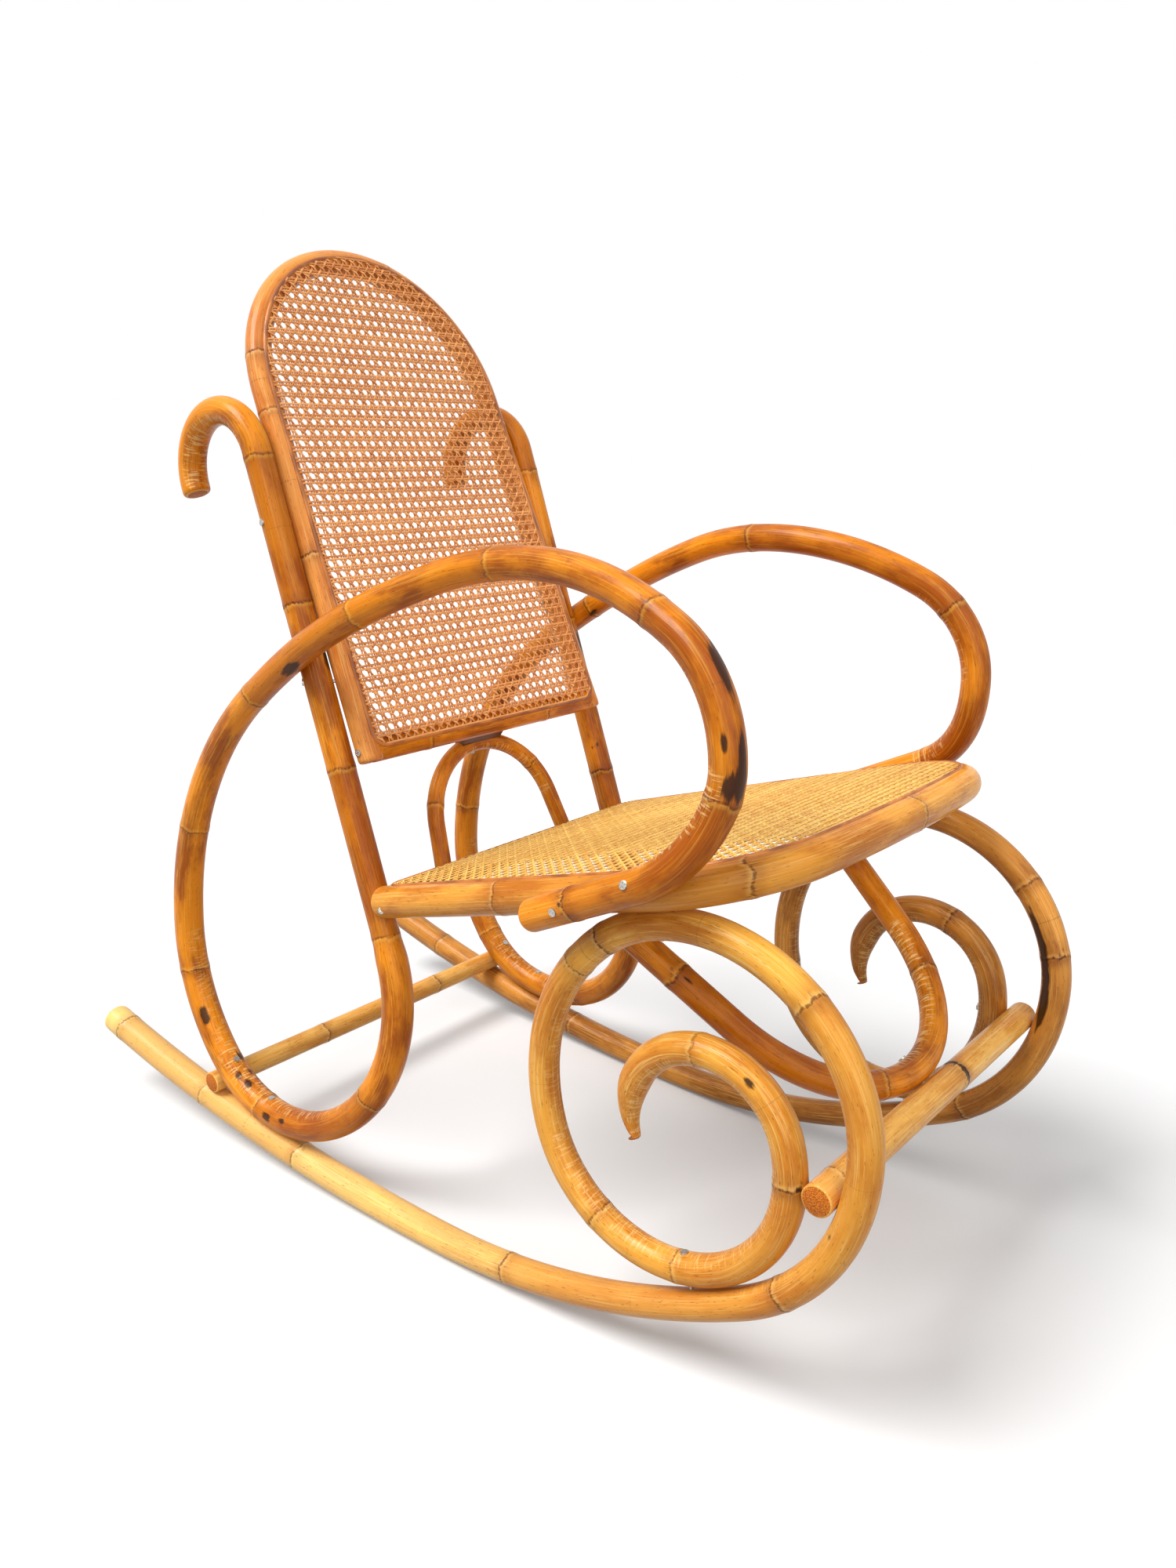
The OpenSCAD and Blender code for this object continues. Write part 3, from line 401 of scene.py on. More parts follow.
bow_r, corner_r, spline_r, seat_end_share = 1400, 105, 18, 0.7
bow_centre = np.array([0, bow_r - seat_depth])
leg_start = np.array([rear_half, 0]) - corner_r * direction(leg_tilt)
leg_dir = direction(leg_tilt - 90)
corner_centre = leg_start + leg_dir * run_to_circle(leg_start, leg_dir, bow_centre, bow_r - corner_r, 1)
bow_angle = heading_of(corner_centre - bow_centre)
seat_bends = [round_part(corner_centre, corner_r, leg_tilt, bow_angle),
              round_part(bow_centre, bow_r, bow_angle, -90)]
corner_y = rear_rail_y - spline_r
seat_corner = round_part((rail_x(corner_y + spline_r * sin(leg_t)) - spline_r * cos(leg_t), corner_y),
                         spline_r, 90, leg_tilt)
back_bends = [round_part((0, back_length - back_r), back_r, degrees(back_t), 90)]
back_corner = round_part((back_bottom_half - spline_r * (1 + sin(back_t)) * tan(back_t)
                          - spline_r * cos(back_t), spline_r), spline_r, -90, degrees(back_t))
seat_end_y = -arm_rad * seat_end_share
seat_path = legged((rail_x(seat_end_y), seat_end_y), *seat_bends)
back_foot = -back_rad + 5 * GAP
back_path = legged((back_bottom_half - back_foot * tan(back_t), back_foot), *back_bends)
brace_bend = round_part((0, brace_r), brace_r, -brace_splay, -90)
brace_side, brace_top = brace_bend.at(0), ring_run + brace_overrun
brace_x = brace_side[0] + (brace_top - brace_side[1]) * tan(radians(brace_splay))
brace_path = legged((brace_x, brace_top), brace_bend)
arch_bend = round_part((0, arch_height - arch_r), arch_r, arch_splay, 90)
arch_side = arch_bend.at(0)
arch_x = arch_side[0] + (arch_side[1] + arch_foot) * tan(radians(arch_splay))
arch_path = legged((arch_x, -arch_foot), arch_bend)
web_frames = {"seat": (seat_plane, seat_corner, seat_bends, seat_rad),
              "back": (back_plane, back_corner, back_bends, back_rad)}
print("points of the seat's path:", len(seat_path), "and the back's:", len(back_path))

# %% [markdown]
# Every pole is one swept surface. A point at length s and angle a is the path's point
# plus r(s) (cos a U + sin a V), where U and V stand square to the path. U follows a fixed
# direction, so the surface never twists. Bamboo has a joint every few hands: a slight
# ridge with a thin groove in it. The rings stand closer there, so that both show.

# %% Rings along a pole
SIDES, RING_STEP, CLOSEST, EDGE_ROUND, FAR = 40, 3.0, 0.9, 0.044, 60
RIDGE, RIDGE_WIDTH, GROOVE_SHARE, GROOVE_WIDTH = 0.6, 4.5, 0.4, 0.8
ANGLES = np.arange(SIDES) * 2 * pi / SIDES


def stations(length, joints):
    """Lengths of the rings: even steps, close steps at each joint and at both ends."""
    near = np.array([-6, -4.2, -2.8, -1.8, -1.1, -0.55, 0, 0.55, 1.1, 1.8, 2.8, 4.2, 6])
    ends = np.array([0, 0.5, 1.3, 2.6, 5])
    spaced = np.linspace(0, length, ceil(length / RING_STEP) + 1)
    close = np.concatenate([*(j + near for j in joints), ends, length - ends])
    close = close[(close >= 0) & (close <= length)]
    kept = spaced[np.min(np.abs(spaced[:, None] - close[None]), 1) > CLOSEST]
    return np.unique(np.concatenate([kept, close]).round(3))


def resampled(path, s):
    """Points of a path at given lengths along it."""
    return np.stack([np.interp(s, lengths(path), column) for column in path.T], 1)


def spokes(a, u, v):
    """Unit vectors cos a u + sin a v: a ring of them for each point of a path."""
    return np.cos(a)[:, None] * u[:, None] + np.sin(a)[:, None] * v[:, None]


def frames(path, s, ref):
    """Points at lengths s, the path's directions there and the unit vectors round them."""
    p = resampled(path, s)
    tangent = unit(np.gradient(p, s, axis=0))
    u = unit(ref - (tangent @ ref)[:, None] * tangent)
    return p, tangent, spokes(ANGLES, u, np.cross(tangent, u))


def nearest_joint(s, joints):
    """Which joint is nearest to each length, and the signed distance from it."""
    gap = s[:, None] - joints[None]
    which = np.abs(gap).argmin(1)
    return which, np.clip(gap[np.arange(len(s)), which], -FAR, FAR)


def radii(s, radius, gap, edge_length):
    """A number or eased stations, with a grooved ridge at each joint and rounded ends."""
    r = eased(radius, s) if isinstance(radius, list) else radius
    r = r + RIDGE * np.exp(-(gap / RIDGE_WIDTH) ** 2)
    r = r - GROOVE_SHARE * RIDGE * np.exp(-(gap / GROOVE_WIDTH) ** 2)
    edge = np.clip(np.minimum(s, s[-1] - s) / edge_length, 0, 1)
    return r * (1 - EDGE_ROUND * edge_length * (1 - np.sqrt(1 - (1 - edge) ** 2)))


print("rings on the runner:", len(stations(runner_length, [400, 900])))

# %% [markdown]
# Now each pole gets its path in the chair, with x across it, y to the rear and z up. The
# right-hand poles are the mirror image of the left-hand ones.

# %% Paths of all the poles
def side_path(parts, x_of):
    """Points (x, y, z) of a pole that is drawn in the side view."""
    flat = chain(parts, PATH_STEP)
    return np.column_stack([x_of(flat), flat])


def flipped(path):
    return path * [-1, 1, 1]


def crosswise(half, at):
    """A straight path across the chair at a point (y, z) of the side view."""
    return np.array([[half, *at], [-half, *at]])


def arm_x(flat):
    s = lengths(flat)
    return np.where(s > tail_s, tail_x(flat[:, 0]), eased(arm_xs, s))


left_runner_path = side_path(runner_parts, lambda flat: runner_x(flat[:, 0]))
left_arm_path = side_path(arm_parts, arm_x)
rail_half = rail_x(rear_rail_y)
front_stretcher_half, rear_stretcher_half = 229, 265
paths = {
    "left_runner": left_runner_path, "right_runner": flipped(left_runner_path),
    "left_arm_pole": left_arm_path, "right_arm_pole": flipped(left_arm_path),
    "seat_frame": seat_plane.place(seat_path), "back_hoop": back_plane.place(back_path),
    "brace_hoop": brace_plane.place(brace_path), "rear_arch": arch_plane.place(arch_path),
    "seat_rear_rail": seat_plane.place([[rail_half, rear_rail_y], [-rail_half, rear_rail_y]],
                                       rail_lift),
    "back_bottom_rail": back_plane.place([[back_bottom_half, 0], [-back_bottom_half, 0]]),
    "front_stretcher": crosswise(front_stretcher_half, front_seat),
    "rear_stretcher": crosswise(rear_stretcher_half, rear_seat),
}
side_ref, upward = np.array([1, 0, 0]), np.array([0, 0, 1])
refs = {"seat_frame": seat_plane.up, "back_hoop": back_plane.up, "brace_hoop": brace_plane.up,
        "rear_arch": arch_plane.up, "seat_rear_rail": seat_plane.up, "back_bottom_rail": back_plane.up,
        "front_stretcher": upward, "rear_stretcher": upward}
print({name: round(float(lengths(p)[-1])) for name, p in paths.items()})

# %% [markdown]
# Colour comes next, because each piece takes its material when it is made. A small class
# wraps a socket, so that shader maths can be written as plain sums. The other nodes all
# come from one method that takes the node's type, its settings and its sockets.

# %% Writing materials as sums
def maths(operation, swapped=False):
    """A method of Term that makes one maths node."""
    def method(self, other=0.0):
        a, b = (other, self) if swapped else (self, other)
        return self.nodes.node("ShaderNodeMath", {"operation": operation}, {0: a, 1: b})
    return method


class Term:
    """A number or a colour somewhere among the nodes."""

    __add__ = __radd__ = maths("ADD")
    __sub__, __rsub__ = maths("SUBTRACT"), maths("SUBTRACT", True)
    __mul__ = __rmul__ = maths("MULTIPLY")
    __abs__, or_more = maths("ABSOLUTE"), maths("MAXIMUM")

    def __init__(self, nodes, socket):
        self.nodes, self.socket = nodes, socket

    def step(self, low, high):
        """0 below low, 1 above high and smooth between; low above high turns it round."""
        ends = {"From Min": min(low, high), "From Max": max(low, high)}
        rising = self.nodes.node("ShaderNodeMapRange", {"interpolation_type": "SMOOTHSTEP"},
                                 {"Value": self, **ends})
        return rising if low < high else 1 - rising


def tone(red, green, blue):
    """A colour as it is seen on a screen, 0 to 255, turned into light values."""
    seen = np.array([red, green, blue]) / 255
    light = np.where(seen <= 0.04045, seen / 12.92, ((seen + 0.055) / 1.055) ** 2.4)
    return (*light.tolist(), 1.0)


class Nodes:
    """The nodes of a material or a world, each made by one call."""

    def __init__(self, owner):
        owner.use_nodes = True
        self.tree = owner.node_tree

    def fill(self, target, sockets):
        """Links or sets the named sockets of a node."""
        for key, value in dict(sockets).items():
            if isinstance(value, Term):
                self.tree.links.new(value.socket, target.inputs[key])
            else:
                target.inputs[key].default_value = value

    def node(self, kind, settings=(), sockets=(), out=0):
        made = self.tree.nodes.new(kind)
        for key, value in dict(settings).items():
            setattr(made, key, value)
        self.fill(made, sockets)
        return Term(self, made.outputs[out])


class Paint(Nodes):
    def __init__(self, name):
        self.material = bpy.data.materials.new(name)
        super().__init__(self.material)
        self.shader = self.tree.nodes["Principled BSDF"]

    def number(self, name):
        return self.node("ShaderNodeAttribute", {"attribute_name": name}, out=2)

    def vector(self, name):
        return self.node("ShaderNodeAttribute", {"attribute_name": name}, out=1)

    def place(self):
        return self.node("ShaderNodeTexCoord", out=3)

    def noise(self, at, scale, detail=2.0, rough=0.5):
        """Noise from 0 to 1 on coordinates stretched by three factors."""
        spot = self.node("ShaderNodeVectorMath", {"operation": "MULTIPLY"}, {0: at, 1: scale})
        return self.node("ShaderNodeTexNoise", {"noise_dimensions": "3D"},
                         {"Vector": spot, "Scale": 1.0, "Detail": detail, "Roughness": rough})

    def blend(self, share, low, high):
        return self.node("ShaderNodeMix", {"data_type": "RGBA"}, {0: share, 6: low, 7: high}, out=2)

    def finish(self, colour, rough, height, depth, coat=0.0, metal=0.0, shine=0.5):
        bump = self.node("ShaderNodeBump", (), {"Height": height, "Distance": depth})
        self.fill(self.shader, {"Base Color": colour, "Roughness": rough, "Normal": bump,
                                "Coat Weight": coat, "Coat Roughness": 0.08, "Metallic": metal,
                                "Specular IOR Level": shine})
        return self.material


print("a honey tone as light values:", [round(c, 3) for c in tone(215, 120, 35)])

# %% [markdown]
# The bamboo is lacquered. Its colour is mottled over a hand's length, with long fine
# streaks, small dark flecks, a ragged dark line at each joint with a pale scar beside it,
# burns from the bending flame, and pale cross wrinkles inside the tight bends. The burn
# tone also darkens the cut face of each whittled tip, as painted shade. All of it
# follows the pole's own coordinates: length along the pole and the two cross directions,
# so no seam shows. The joint, burn and wrinkle masks are attributes of the mesh; the
# burn mask holds the painted shade of the tips as well.

# %% Bamboo finishes
PATCHES = 0.8


def bamboo(name, dark, mid, light, streaks=0.55):
    p = Paint(name)
    lay = p.vector("lay")
    mottle = p.noise(lay, (11, 34, 34), 4, 0.6)
    fibre = p.noise(lay, (14, 620, 620), 3, 0.6)
    fleck = p.noise(lay, (130, 900, 900), 1)
    drift = p.noise(lay, (60, 300, 300), 2)
    sway = p.noise(lay, (0, 75, 75), 1)
    joint = p.number("joint") + (drift - 0.5) * 4.5 + (sway - 0.5) * 9
    mark, wrinkle = p.number("mark"), p.number("wrinkle")
    near = joint.step(-16, -1) * joint.step(1, -1) * 0.5 + joint.step(26, 4) * joint.step(0, 3) * 0.3
    scar = joint.step(0.4, 1.4) * joint.step(6.5, 2.5)
    folds = p.noise(lay, (430, 70, 70), 2)
    broken = p.noise(lay, (90, 420, 420), 1)
    line = abs(joint).step(2.2, 0.7) * (0.35 + 0.65 * broken.step(0.38, 0.56))
    dots = abs(joint - 5).step(5, 2) * broken.step(0.6, 0.68) * mark
    pores = p.noise(lay, (900, 900, 900), 1)
    cut = p.number("cut").step(0.02, 0.1)
    # The dark burn tone also covers the cut faces of the whittled tips, where it is painted shade.
    soot_and_tip_shade = (p.number("burn_and_tip_shade") + (mottle - 0.5) * 0.3 + (drift - 0.5) * 0.8).step(0.32, 0.66)
    layers = [
        (p.number("fade") * 0.75, light),
        (fibre.step(0.48, 0.74) * streaks, light),
        (fibre.step(0.44, 0.26) * 0.4, dark),
        (p.number("band") * 0.55, dark),
        (near * mark, tone(120, 55, 14)),
        (scar * 0.22, light),
        (folds.step(0.52, 0.62) * wrinkle * 0.8, tone(255, 220, 150)),
        (fleck.step(0.66, 0.74) * 0.5, tone(92, 42, 12)),
        (line * (0.3 + 0.6 * mark) + dots * 0.6, tone(82, 36, 10)),
        (cut, p.blend(pores.step(0.4, 0.6), tone(158, 78, 14), tone(214, 124, 40))),
        (soot_and_tip_shade * 0.92, tone(40, 17, 6))]
    colour = p.blend(mottle.step(0.36, 0.62) * PATCHES + (1 - PATCHES) * 0.5, dark, mid)
    for share, paint in layers:
        colour = p.blend(share, colour, paint)
    height = fibre * 0.35 - line * 0.5 + folds * wrinkle * 1.4 - soot_and_tip_shade * 0.2
    rough = 0.27 + 0.12 * drift + 0.25 * cut
    return p.finish(colour, rough, height, 0.0004, coat=0.06, shine=0.16)


honey = bamboo("honey bamboo", tone(150, 68, 2), tone(238, 144, 22), tone(255, 204, 92), 0.34)
amber = bamboo("amber bamboo", tone(196, 110, 44), tone(244, 164, 76), tone(255, 214, 134))
pale = bamboo("pale bamboo", tone(192, 112, 26), tone(240, 174, 68), tone(252, 216, 134), 0.65)
gold = bamboo("gold bamboo", tone(184, 104, 26), tone(238, 164, 60), tone(252, 208, 120), 0.6)
brown = bamboo("brown bamboo", tone(150, 88, 30), tone(224, 150, 60), tone(248, 198, 114))
sand = bamboo("tan bamboo", tone(206, 132, 46), tone(244, 186, 92), tone(254, 220, 150), 0.6)
print([m.name for m in (honey, amber, pale, gold, brown, sand)])

# %% [markdown]
# A surface grid becomes a mesh in one go. Its faces run ring by ring, and its masks are
# stored on its points. A finished piece lies at the origin with its place in its points,
# rides on the chair's one body, and hides the plain solid that it stands for.

# %% From a grid to a piece
def added(name, data):
    """A new object in the scene, with its mesh, lens or light."""
    made = bpy.data.objects.new(name, data)
    bpy.context.scene.collection.objects.link(made)
    return made


def to_chair(points):
    """Metres in the chair's frame, whose zero is halfway along the chair."""
    return (points - np.array([0, centre_y, 0])) * MM


def make_piece(name, points, faces, material, nodes=(), masks=()):
    mesh = bpy.data.meshes.new(name)
    mesh.from_pydata(to_chair(points).tolist(), [], faces)
    for key, values in dict(masks).items():
        vector = values.ndim == 2
        layer = mesh.attributes.new(key, "FLOAT_VECTOR" if vector else "FLOAT", "POINT")
        layer.data.foreach_set("vector" if vector else "value", values.astype(np.float32).ravel())
    mesh.materials.append(material)
    mesh.shade_smooth()
    mesh.update()
    piece = added(name, mesh)
    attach(piece, "root")
    if nodes:
        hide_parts(*nodes)


def grid_faces(rows, columns, closed=False):
    """Quads between neighbouring rings; each ring is closed, and so may be the path."""
    i = np.arange(rows if closed else rows - 1)[:, None]
    j = np.arange(columns)[None]
    a, b = i * columns, ((i + 1) % rows) * columns
    k = (j + 1) % columns
    return np.stack([a + j, a + k, b + k, b + j], -1).reshape(-1, 4).tolist()


print("faces of a short grid:", len(grid_faces(5, SIDES)))

# %% [markdown]
# A pole is drawn in one call. Its masks say where its joints, burns, wrinkles and cut ends
# are. A scroll's tip is whittled: a slanting limit falls from the outside of the bend, and
# whatever lies beyond it is pushed in. Its cut face also takes the burn tone, as painted shade.

# %% Drawing a pole
# The last number darkens a whittled tip's cut face with the burn tone: this is painted shade.
BURN_LONG, BURN_WIDE, CUT_FALL, TIP_PAINTED_SHADE = 1.7, 1.5, 1.35, 0.42
BEND_SCALE, CREASE_FROM, CREASE_SPAN = 170, 0.45, 0.5


def own_place(s, r, a):
    """A pole's own coordinates in metres: along it and in the two cross directions."""
    s, r = s[:, None], np.broadcast_to(r, s.shape)[:, None]
    own = np.broadcast_arrays(s, r * np.cos(a), r * np.sin(a))
    return np.stack(own, -1).reshape(-1, 3) * MM


def spots(s, r, burns):
    """Sum of bells exp(-(ds / length)^2 - (r da / width)^2) at each listed scorch (s, angle)."""
    mask = np.zeros((len(s), SIDES))
    for at, angle, long, wide, strength in burns:
        turn = (ANGLES - radians(angle) + pi) % (2 * pi) - pi
        mask += strength * np.exp(-((s[:, None] - at) / (BURN_LONG * long)) ** 2
                                  - (r[:, None] * turn / (BURN_WIDE * wide)) ** 2)
    return np.clip(mask, 0, 1)


def whittled(s, points, p, tangent, curve, r, length):
    """Cuts the tip on the slant: no point lies further out of the bend than a falling limit,
    nor outside the chord that the limit cuts from the pole's circle."""
    away = -curve / (np.linalg.norm(curve, axis=1, keepdims=True) + 1e-9)
    side = np.cross(tangent, away)
    start = s[-1] - length
    falling = np.interp(start, s, r) * (1 - CUT_FALL * np.clip((s - start) / length, 0, 1))
    limit = np.where(s > start, falling, r)
    reach_out = ((points - p[:, None]) * away[:, None]).sum(-1)
    reach_side = ((points - p[:, None]) * side[:, None]).sum(-1)
    over = np.clip(reach_out - limit[:, None], 0, None)
    chord = np.sqrt(np.clip(r ** 2 - np.minimum(limit, 0) ** 2, 0.25, None))[:, None]
    wide = np.where(over > 0, np.clip(np.abs(reach_side) - chord, 0, None) * np.sign(reach_side), 0)
    moved = over[..., None] * away[:, None] + wide[..., None] * side[:, None]
    return points - moved, np.clip(over, 0, 1)


def pole(name, radius, material, joints, burns=(), creases=0.4, fade=(0, 1), edge_length=5.0,
         slant_cut=0.0):
    """Draws one pole over its path, with its masks, and closes both ends."""
    at, marks = np.array(joints).T
    s = stations(lengths(paths[name])[-1], at)
    p, tangent, out = frames(paths[name], s, refs.get(name, side_ref))
    which, gap = nearest_joint(s, at)
    r = radii(s, radius, gap, edge_length)
    points = p[:, None] + r[:, None, None] * out
    curve = np.gradient(tangent, s, axis=0)
    inside = (out * curve[:, None]).sum(-1) * BEND_SCALE
    tip = np.zeros(inside.shape)
    if slant_cut:
        points, tip = whittled(s, points, p, tangent, curve, r, slant_cut)
    band = np.random.default_rng(len(at) * 100 + round(s[-1])).uniform(0, 1, len(at) + 1) ** 2

    def mask(values, at_ends=0.0):
        """A value for each point of the grid, then one for the middle of each end."""
        return np.append(np.broadcast_to(values, tip.shape), [at_ends, at_ends])

    masks = {
        "lay": np.concatenate([own_place(s, r, ANGLES), [[s[0] * MM, 0, 0], [s[-1] * MM, 0, 0]]]),
        "joint": mask(gap[:, None], FAR), "mark": mask(marks[which, None]),
        # The cut face of a whittled tip joins the burns in this mask as painted shade.
        "burn_and_tip_shade": mask(np.maximum(spots(s, r, burns), TIP_PAINTED_SHADE * tip)),
        "wrinkle": mask(np.clip((inside - CREASE_FROM) / CREASE_SPAN, 0, 1) * creases),
        "band": mask(band[np.searchsorted(at, s), None]),
        "fade": mask(np.clip((fade[1] - s) / (fade[1] - fade[0]), 0, 1)[:, None]), "cut": mask(tip, 1)}
    n = tip.size
    fans = [[n, (j + 1) % SIDES, j] for j in range(SIDES)]
    fans += [[n + 1, n - SIDES + j, n - SIDES + (j + 1) % SIDES] for j in range(SIDES)]
    points = np.concatenate([points.reshape(-1, 3), points[[0, -1]].mean(1)])
    make_piece(name + "_round", points, grid_faces(len(s), SIDES) + fans, material, [name], masks)


print("own coordinates of a short pole:", own_place(np.array([0, 1]), 5, ANGLES).shape)

# %% [markdown]
# The two arm poles and the two runners are the chair's main lines. The joints of a real
# pole stand every hand or two, so they are given as lengths along it, each with how dark
# it is. The burns are given the same way, with an angle round the pole and their size.

# %% Arm poles and runners
near_arm_joints = [(217, 0.5), (382, 1.0), (568, 0.5), (760, 0.4), (967, 0.6), (1182, 0.2), (1395, 0.5),
                   (1596, 0.4), (1830, 0.5), (2034, 0.3), (2217, 0.4), (2420, 0.6), (2603, 0.5),
                   (2795, 0.9)]
near_arm_burns = [(2486, 63, 10, 4, 0.9), (2504, 98, 14, 4, 1.0), (2555, 153, 6, 2.4, 0.8),
                  (2566, 98, 12, 3, 1.0), (2585, 98, 12, 3, 0.9), (2590, 138, 8, 5, 1.0),
                  (1920, 234, 12, 5, 1.0), (442, 54, 14, 5, 1.0), (1338, 225, 6, 4, 0.8),
                  (1326, 225, 5, 4, 0.8), (1260, 297, 7, 4, 0.8), (1236, 243, 6, 4, 0.7),
                  (1215, 252, 6, 4, 0.9), (1233, 297, 5, 3, 0.8), (1182, 315, 7, 3, 0.8),
                  (1158, 197, 6, 4, 0.9), (1129, 207, 5, 4, 0.7), (2800, 197, 2.5, 3, 0.7)]
far_arm_joints = [(241, 0.4), (444, 0.5), (654, 0.9), (864, 0.4), (1074, 0.5), (1289, 0.3), (1504, 0.5),
                  (1719, 0.4), (1938, 0.6), (2232, 0.5), (2489, 0.6), (2704, 0.4)]
far_arm_burns = [(478, 63, 12, 5, 1.0), (619, 126, 2.2, 1.8, 0.75), (622, 150, 2.2, 1.8, 0.7),
                 (1944, 225, 8, 4, 0.7)]
near_runner_joints = [(32, 0.5), (215, 0.3), (398, 0.5), (737, 0.6), (1088, 0.6), (1406, 0.7),
                      (1631, 0.9), (1676, 0.4), (1973, 0.6), (2072, 0.3), (2261, 0.9), (2414, 0.3)]
far_runner_joints = [(120, 0.4), (420, 0.5), (760, 0.5), (1060, 0.6), (1304, 0.9), (1385, 0.7),
                     (1620, 0.5), (1850, 0.5), (2120, 0.5), (2375, 0.7)]
far_runner_burns = [(1326, 153, 26, 4, 0.9), (1270, 153, 34, 3, 0.8), (1250, 150, 14, 4, 0.8),
                    (1342, 292, 20, 3, 0.8)]
near_runner_burns = [(2264, 236, 2.5, 3, 0.8), (2357, 207, 4.5, 2.2, 0.9), (1187, 144, 3, 3.4, 0.62)]

pole("right_arm_pole", arm_rads, honey, near_arm_joints, near_arm_burns, 0.55)
pole("left_arm_pole", arm_rads, honey, far_arm_joints, far_arm_burns)
pole("right_runner", runner_rads, pale, near_runner_joints, near_runner_burns,
     fade=(300, 1150), slant_cut=36)
pole("left_runner", runner_rads, brown, far_runner_joints, far_runner_burns, slant_cut=26)

# %% [markdown]
# The frames of the seat and the back, the hoop, the arch and the crosspieces are made the
# same way. The stretchers were sawn off square, so their orange cut ends show.

# %% Frames, hoops and crosspieces
pole("seat_frame", seat_rad, gold,
     [(150, 0.4), (420, 0.4), (700, 0.5), (932, 0.7), (1220, 0.4)])
pole("back_hoop", back_rad, amber,
     [(150, 0.4), (390, 0.5), (640, 0.4), (925, 0.7), (991, 0.3), (1158, 0.8)])
pole("brace_hoop", brace_rad, honey, [(215, 0.7), (434, 0.6), (671, 0.8)],
     [(661, 326, 5, 1.4, 0.6), (661, 350, 4, 1.4, 0.6)], 1.0)
pole("rear_arch", arch_rad, honey, [(120, 0.5), (330, 0.5)])
pole("seat_rear_rail", rear_rail_rad, brown, [(130, 0.5), (300, 0.4)])
pole("back_bottom_rail", back_rad, honey, [(90, 0.4), (290, 0.5)])
pole("front_stretcher", front_rad, sand, [(182, 1.0), (425, 0.5)],
     [(182, angle, 3, 9, 0.8) for angle in (40, 90, 140, 300)], edge_length=1.2)
pole("rear_stretcher", rear_rad, sand, [(140, 0.6), (350, 0.5)], edge_length=1.2)

# %% [markdown]
# A round reed is pressed into the groove that holds the webbing. It is a closed cord on
# the outline of the web, so its surface is a ring of rings.

# %% Splines
CORD_SIDES, CORD_STEP, CORD_RAD, CORD_SINK = 14, 4, 2.5, 0.5


def closed_cord(part, material):
    """Path point plus radius times the turning direction, round a web's closed outline."""
    plane, corner, bends, frame_rad = web_frames[part]
    outline = outlined(corner, bends, CORD_STEP)
    closed = np.concatenate([outline, outline[:1]])
    length = lengths(closed)[-1]
    count = round(length / CORD_STEP)
    s = np.arange(count) * length / count
    p = plane.place(resampled(closed, s), frame_rad - CORD_SINK)
    tangent = unit(np.roll(p, -1, 0) - np.roll(p, 1, 0))
    u = np.broadcast_to(plane.up, p.shape)
    a = np.arange(CORD_SIDES) * 2 * pi / CORD_SIDES
    points = p[:, None] + CORD_RAD * spokes(a, u, np.cross(tangent, u))
    make_piece(part + "_reed", points.reshape(-1, 3), grid_faces(count, CORD_SIDES, True), material,
               [part + "_spline"], {"lay": own_place(s, CORD_RAD, a)})


def reed(name, dark, light):
    p = Paint(name)
    lay = p.vector("lay")
    drift = p.noise(lay, (26, 90, 90), 3)
    fibre = p.noise(lay, (60, 1400, 1400), 2)
    colour = p.blend(drift.step(0.36, 0.64), dark, light)
    colour = p.blend(fibre.step(0.56, 0.44) * 0.3, colour, dark)
    return p.finish(colour, 0.42 + 0.15 * drift, fibre, 0.0003, coat=0.2)


spline_finish = reed("reed spline", tone(138, 70, 16), tone(204, 124, 48))
for part in web_frames:
    closed_cord(part, spline_finish)
print("reeds done")

# %% [markdown]
# The webs are six-way cane. Pairs of strands run up and across at one pitch, and single
# strands run both ways on the slant, halfway between the crossings. A slanting strand
# rises and falls like a cosine: the one way it passes under the uprights and over the
# crosswise pairs, and the other way the reverse, so the web is truly woven and open.

# %% The strands of a web
PITCH, PAIR_GAP, WEAVE, WEB_LIFT = 12.7, 1.75, 1.1, 1.15
PAIR_WIDTH, PAIR_LEVEL, SLANT_WIDTH, SHORTEST = 2.4, 0.37, 2.7, 14
END_EASE, END_DROP, WEB_STEP, REACH = 6, 1.6, 5, 700
GRAIN_SHIFT = 3.7
SECTION = np.array([[-0.5, 0], [-0.3, -0.36], [0.3, -0.36], [0.5, 0], [0.3, 0.36], [-0.3, 0.36]])
seed_maker = np.random.default_rng(7)


def clipped(outline, along, side, offsets):
    """The lines t along + offset side that cross a convex outline: offset, first and last t."""
    gap = outline @ side - offsets[:, None]
    t = np.broadcast_to(outline @ along, gap.shape)
    g1, t1 = np.roll(gap, -1, 1), np.roll(t, -1, 1)
    cuts = np.where((gap < 0) != (g1 < 0), t + (t1 - t) * gap / (gap - g1 + 1e-12), np.nan)
    good = np.isfinite(cuts).sum(1) >= 2
    low, high = np.nanmin(cuts[good], 1), np.nanmax(cuts[good], 1)
    long_enough = high - low > SHORTEST
    return offsets[good][long_enough], low[long_enough, None], high[long_enough, None]


def samples(low, high, shift):
    """Lengths along each strand: even steps, cut off at its two ends by repeating them."""
    step, margin = PITCH / 8 * sqrt(2), 40
    first = np.floor(low.min() / step) - margin
    count = ceil((high.max() - low.min()) / step) + 2 * margin
    return np.clip(np.arange(first, first + count) * step + shift, low, high)


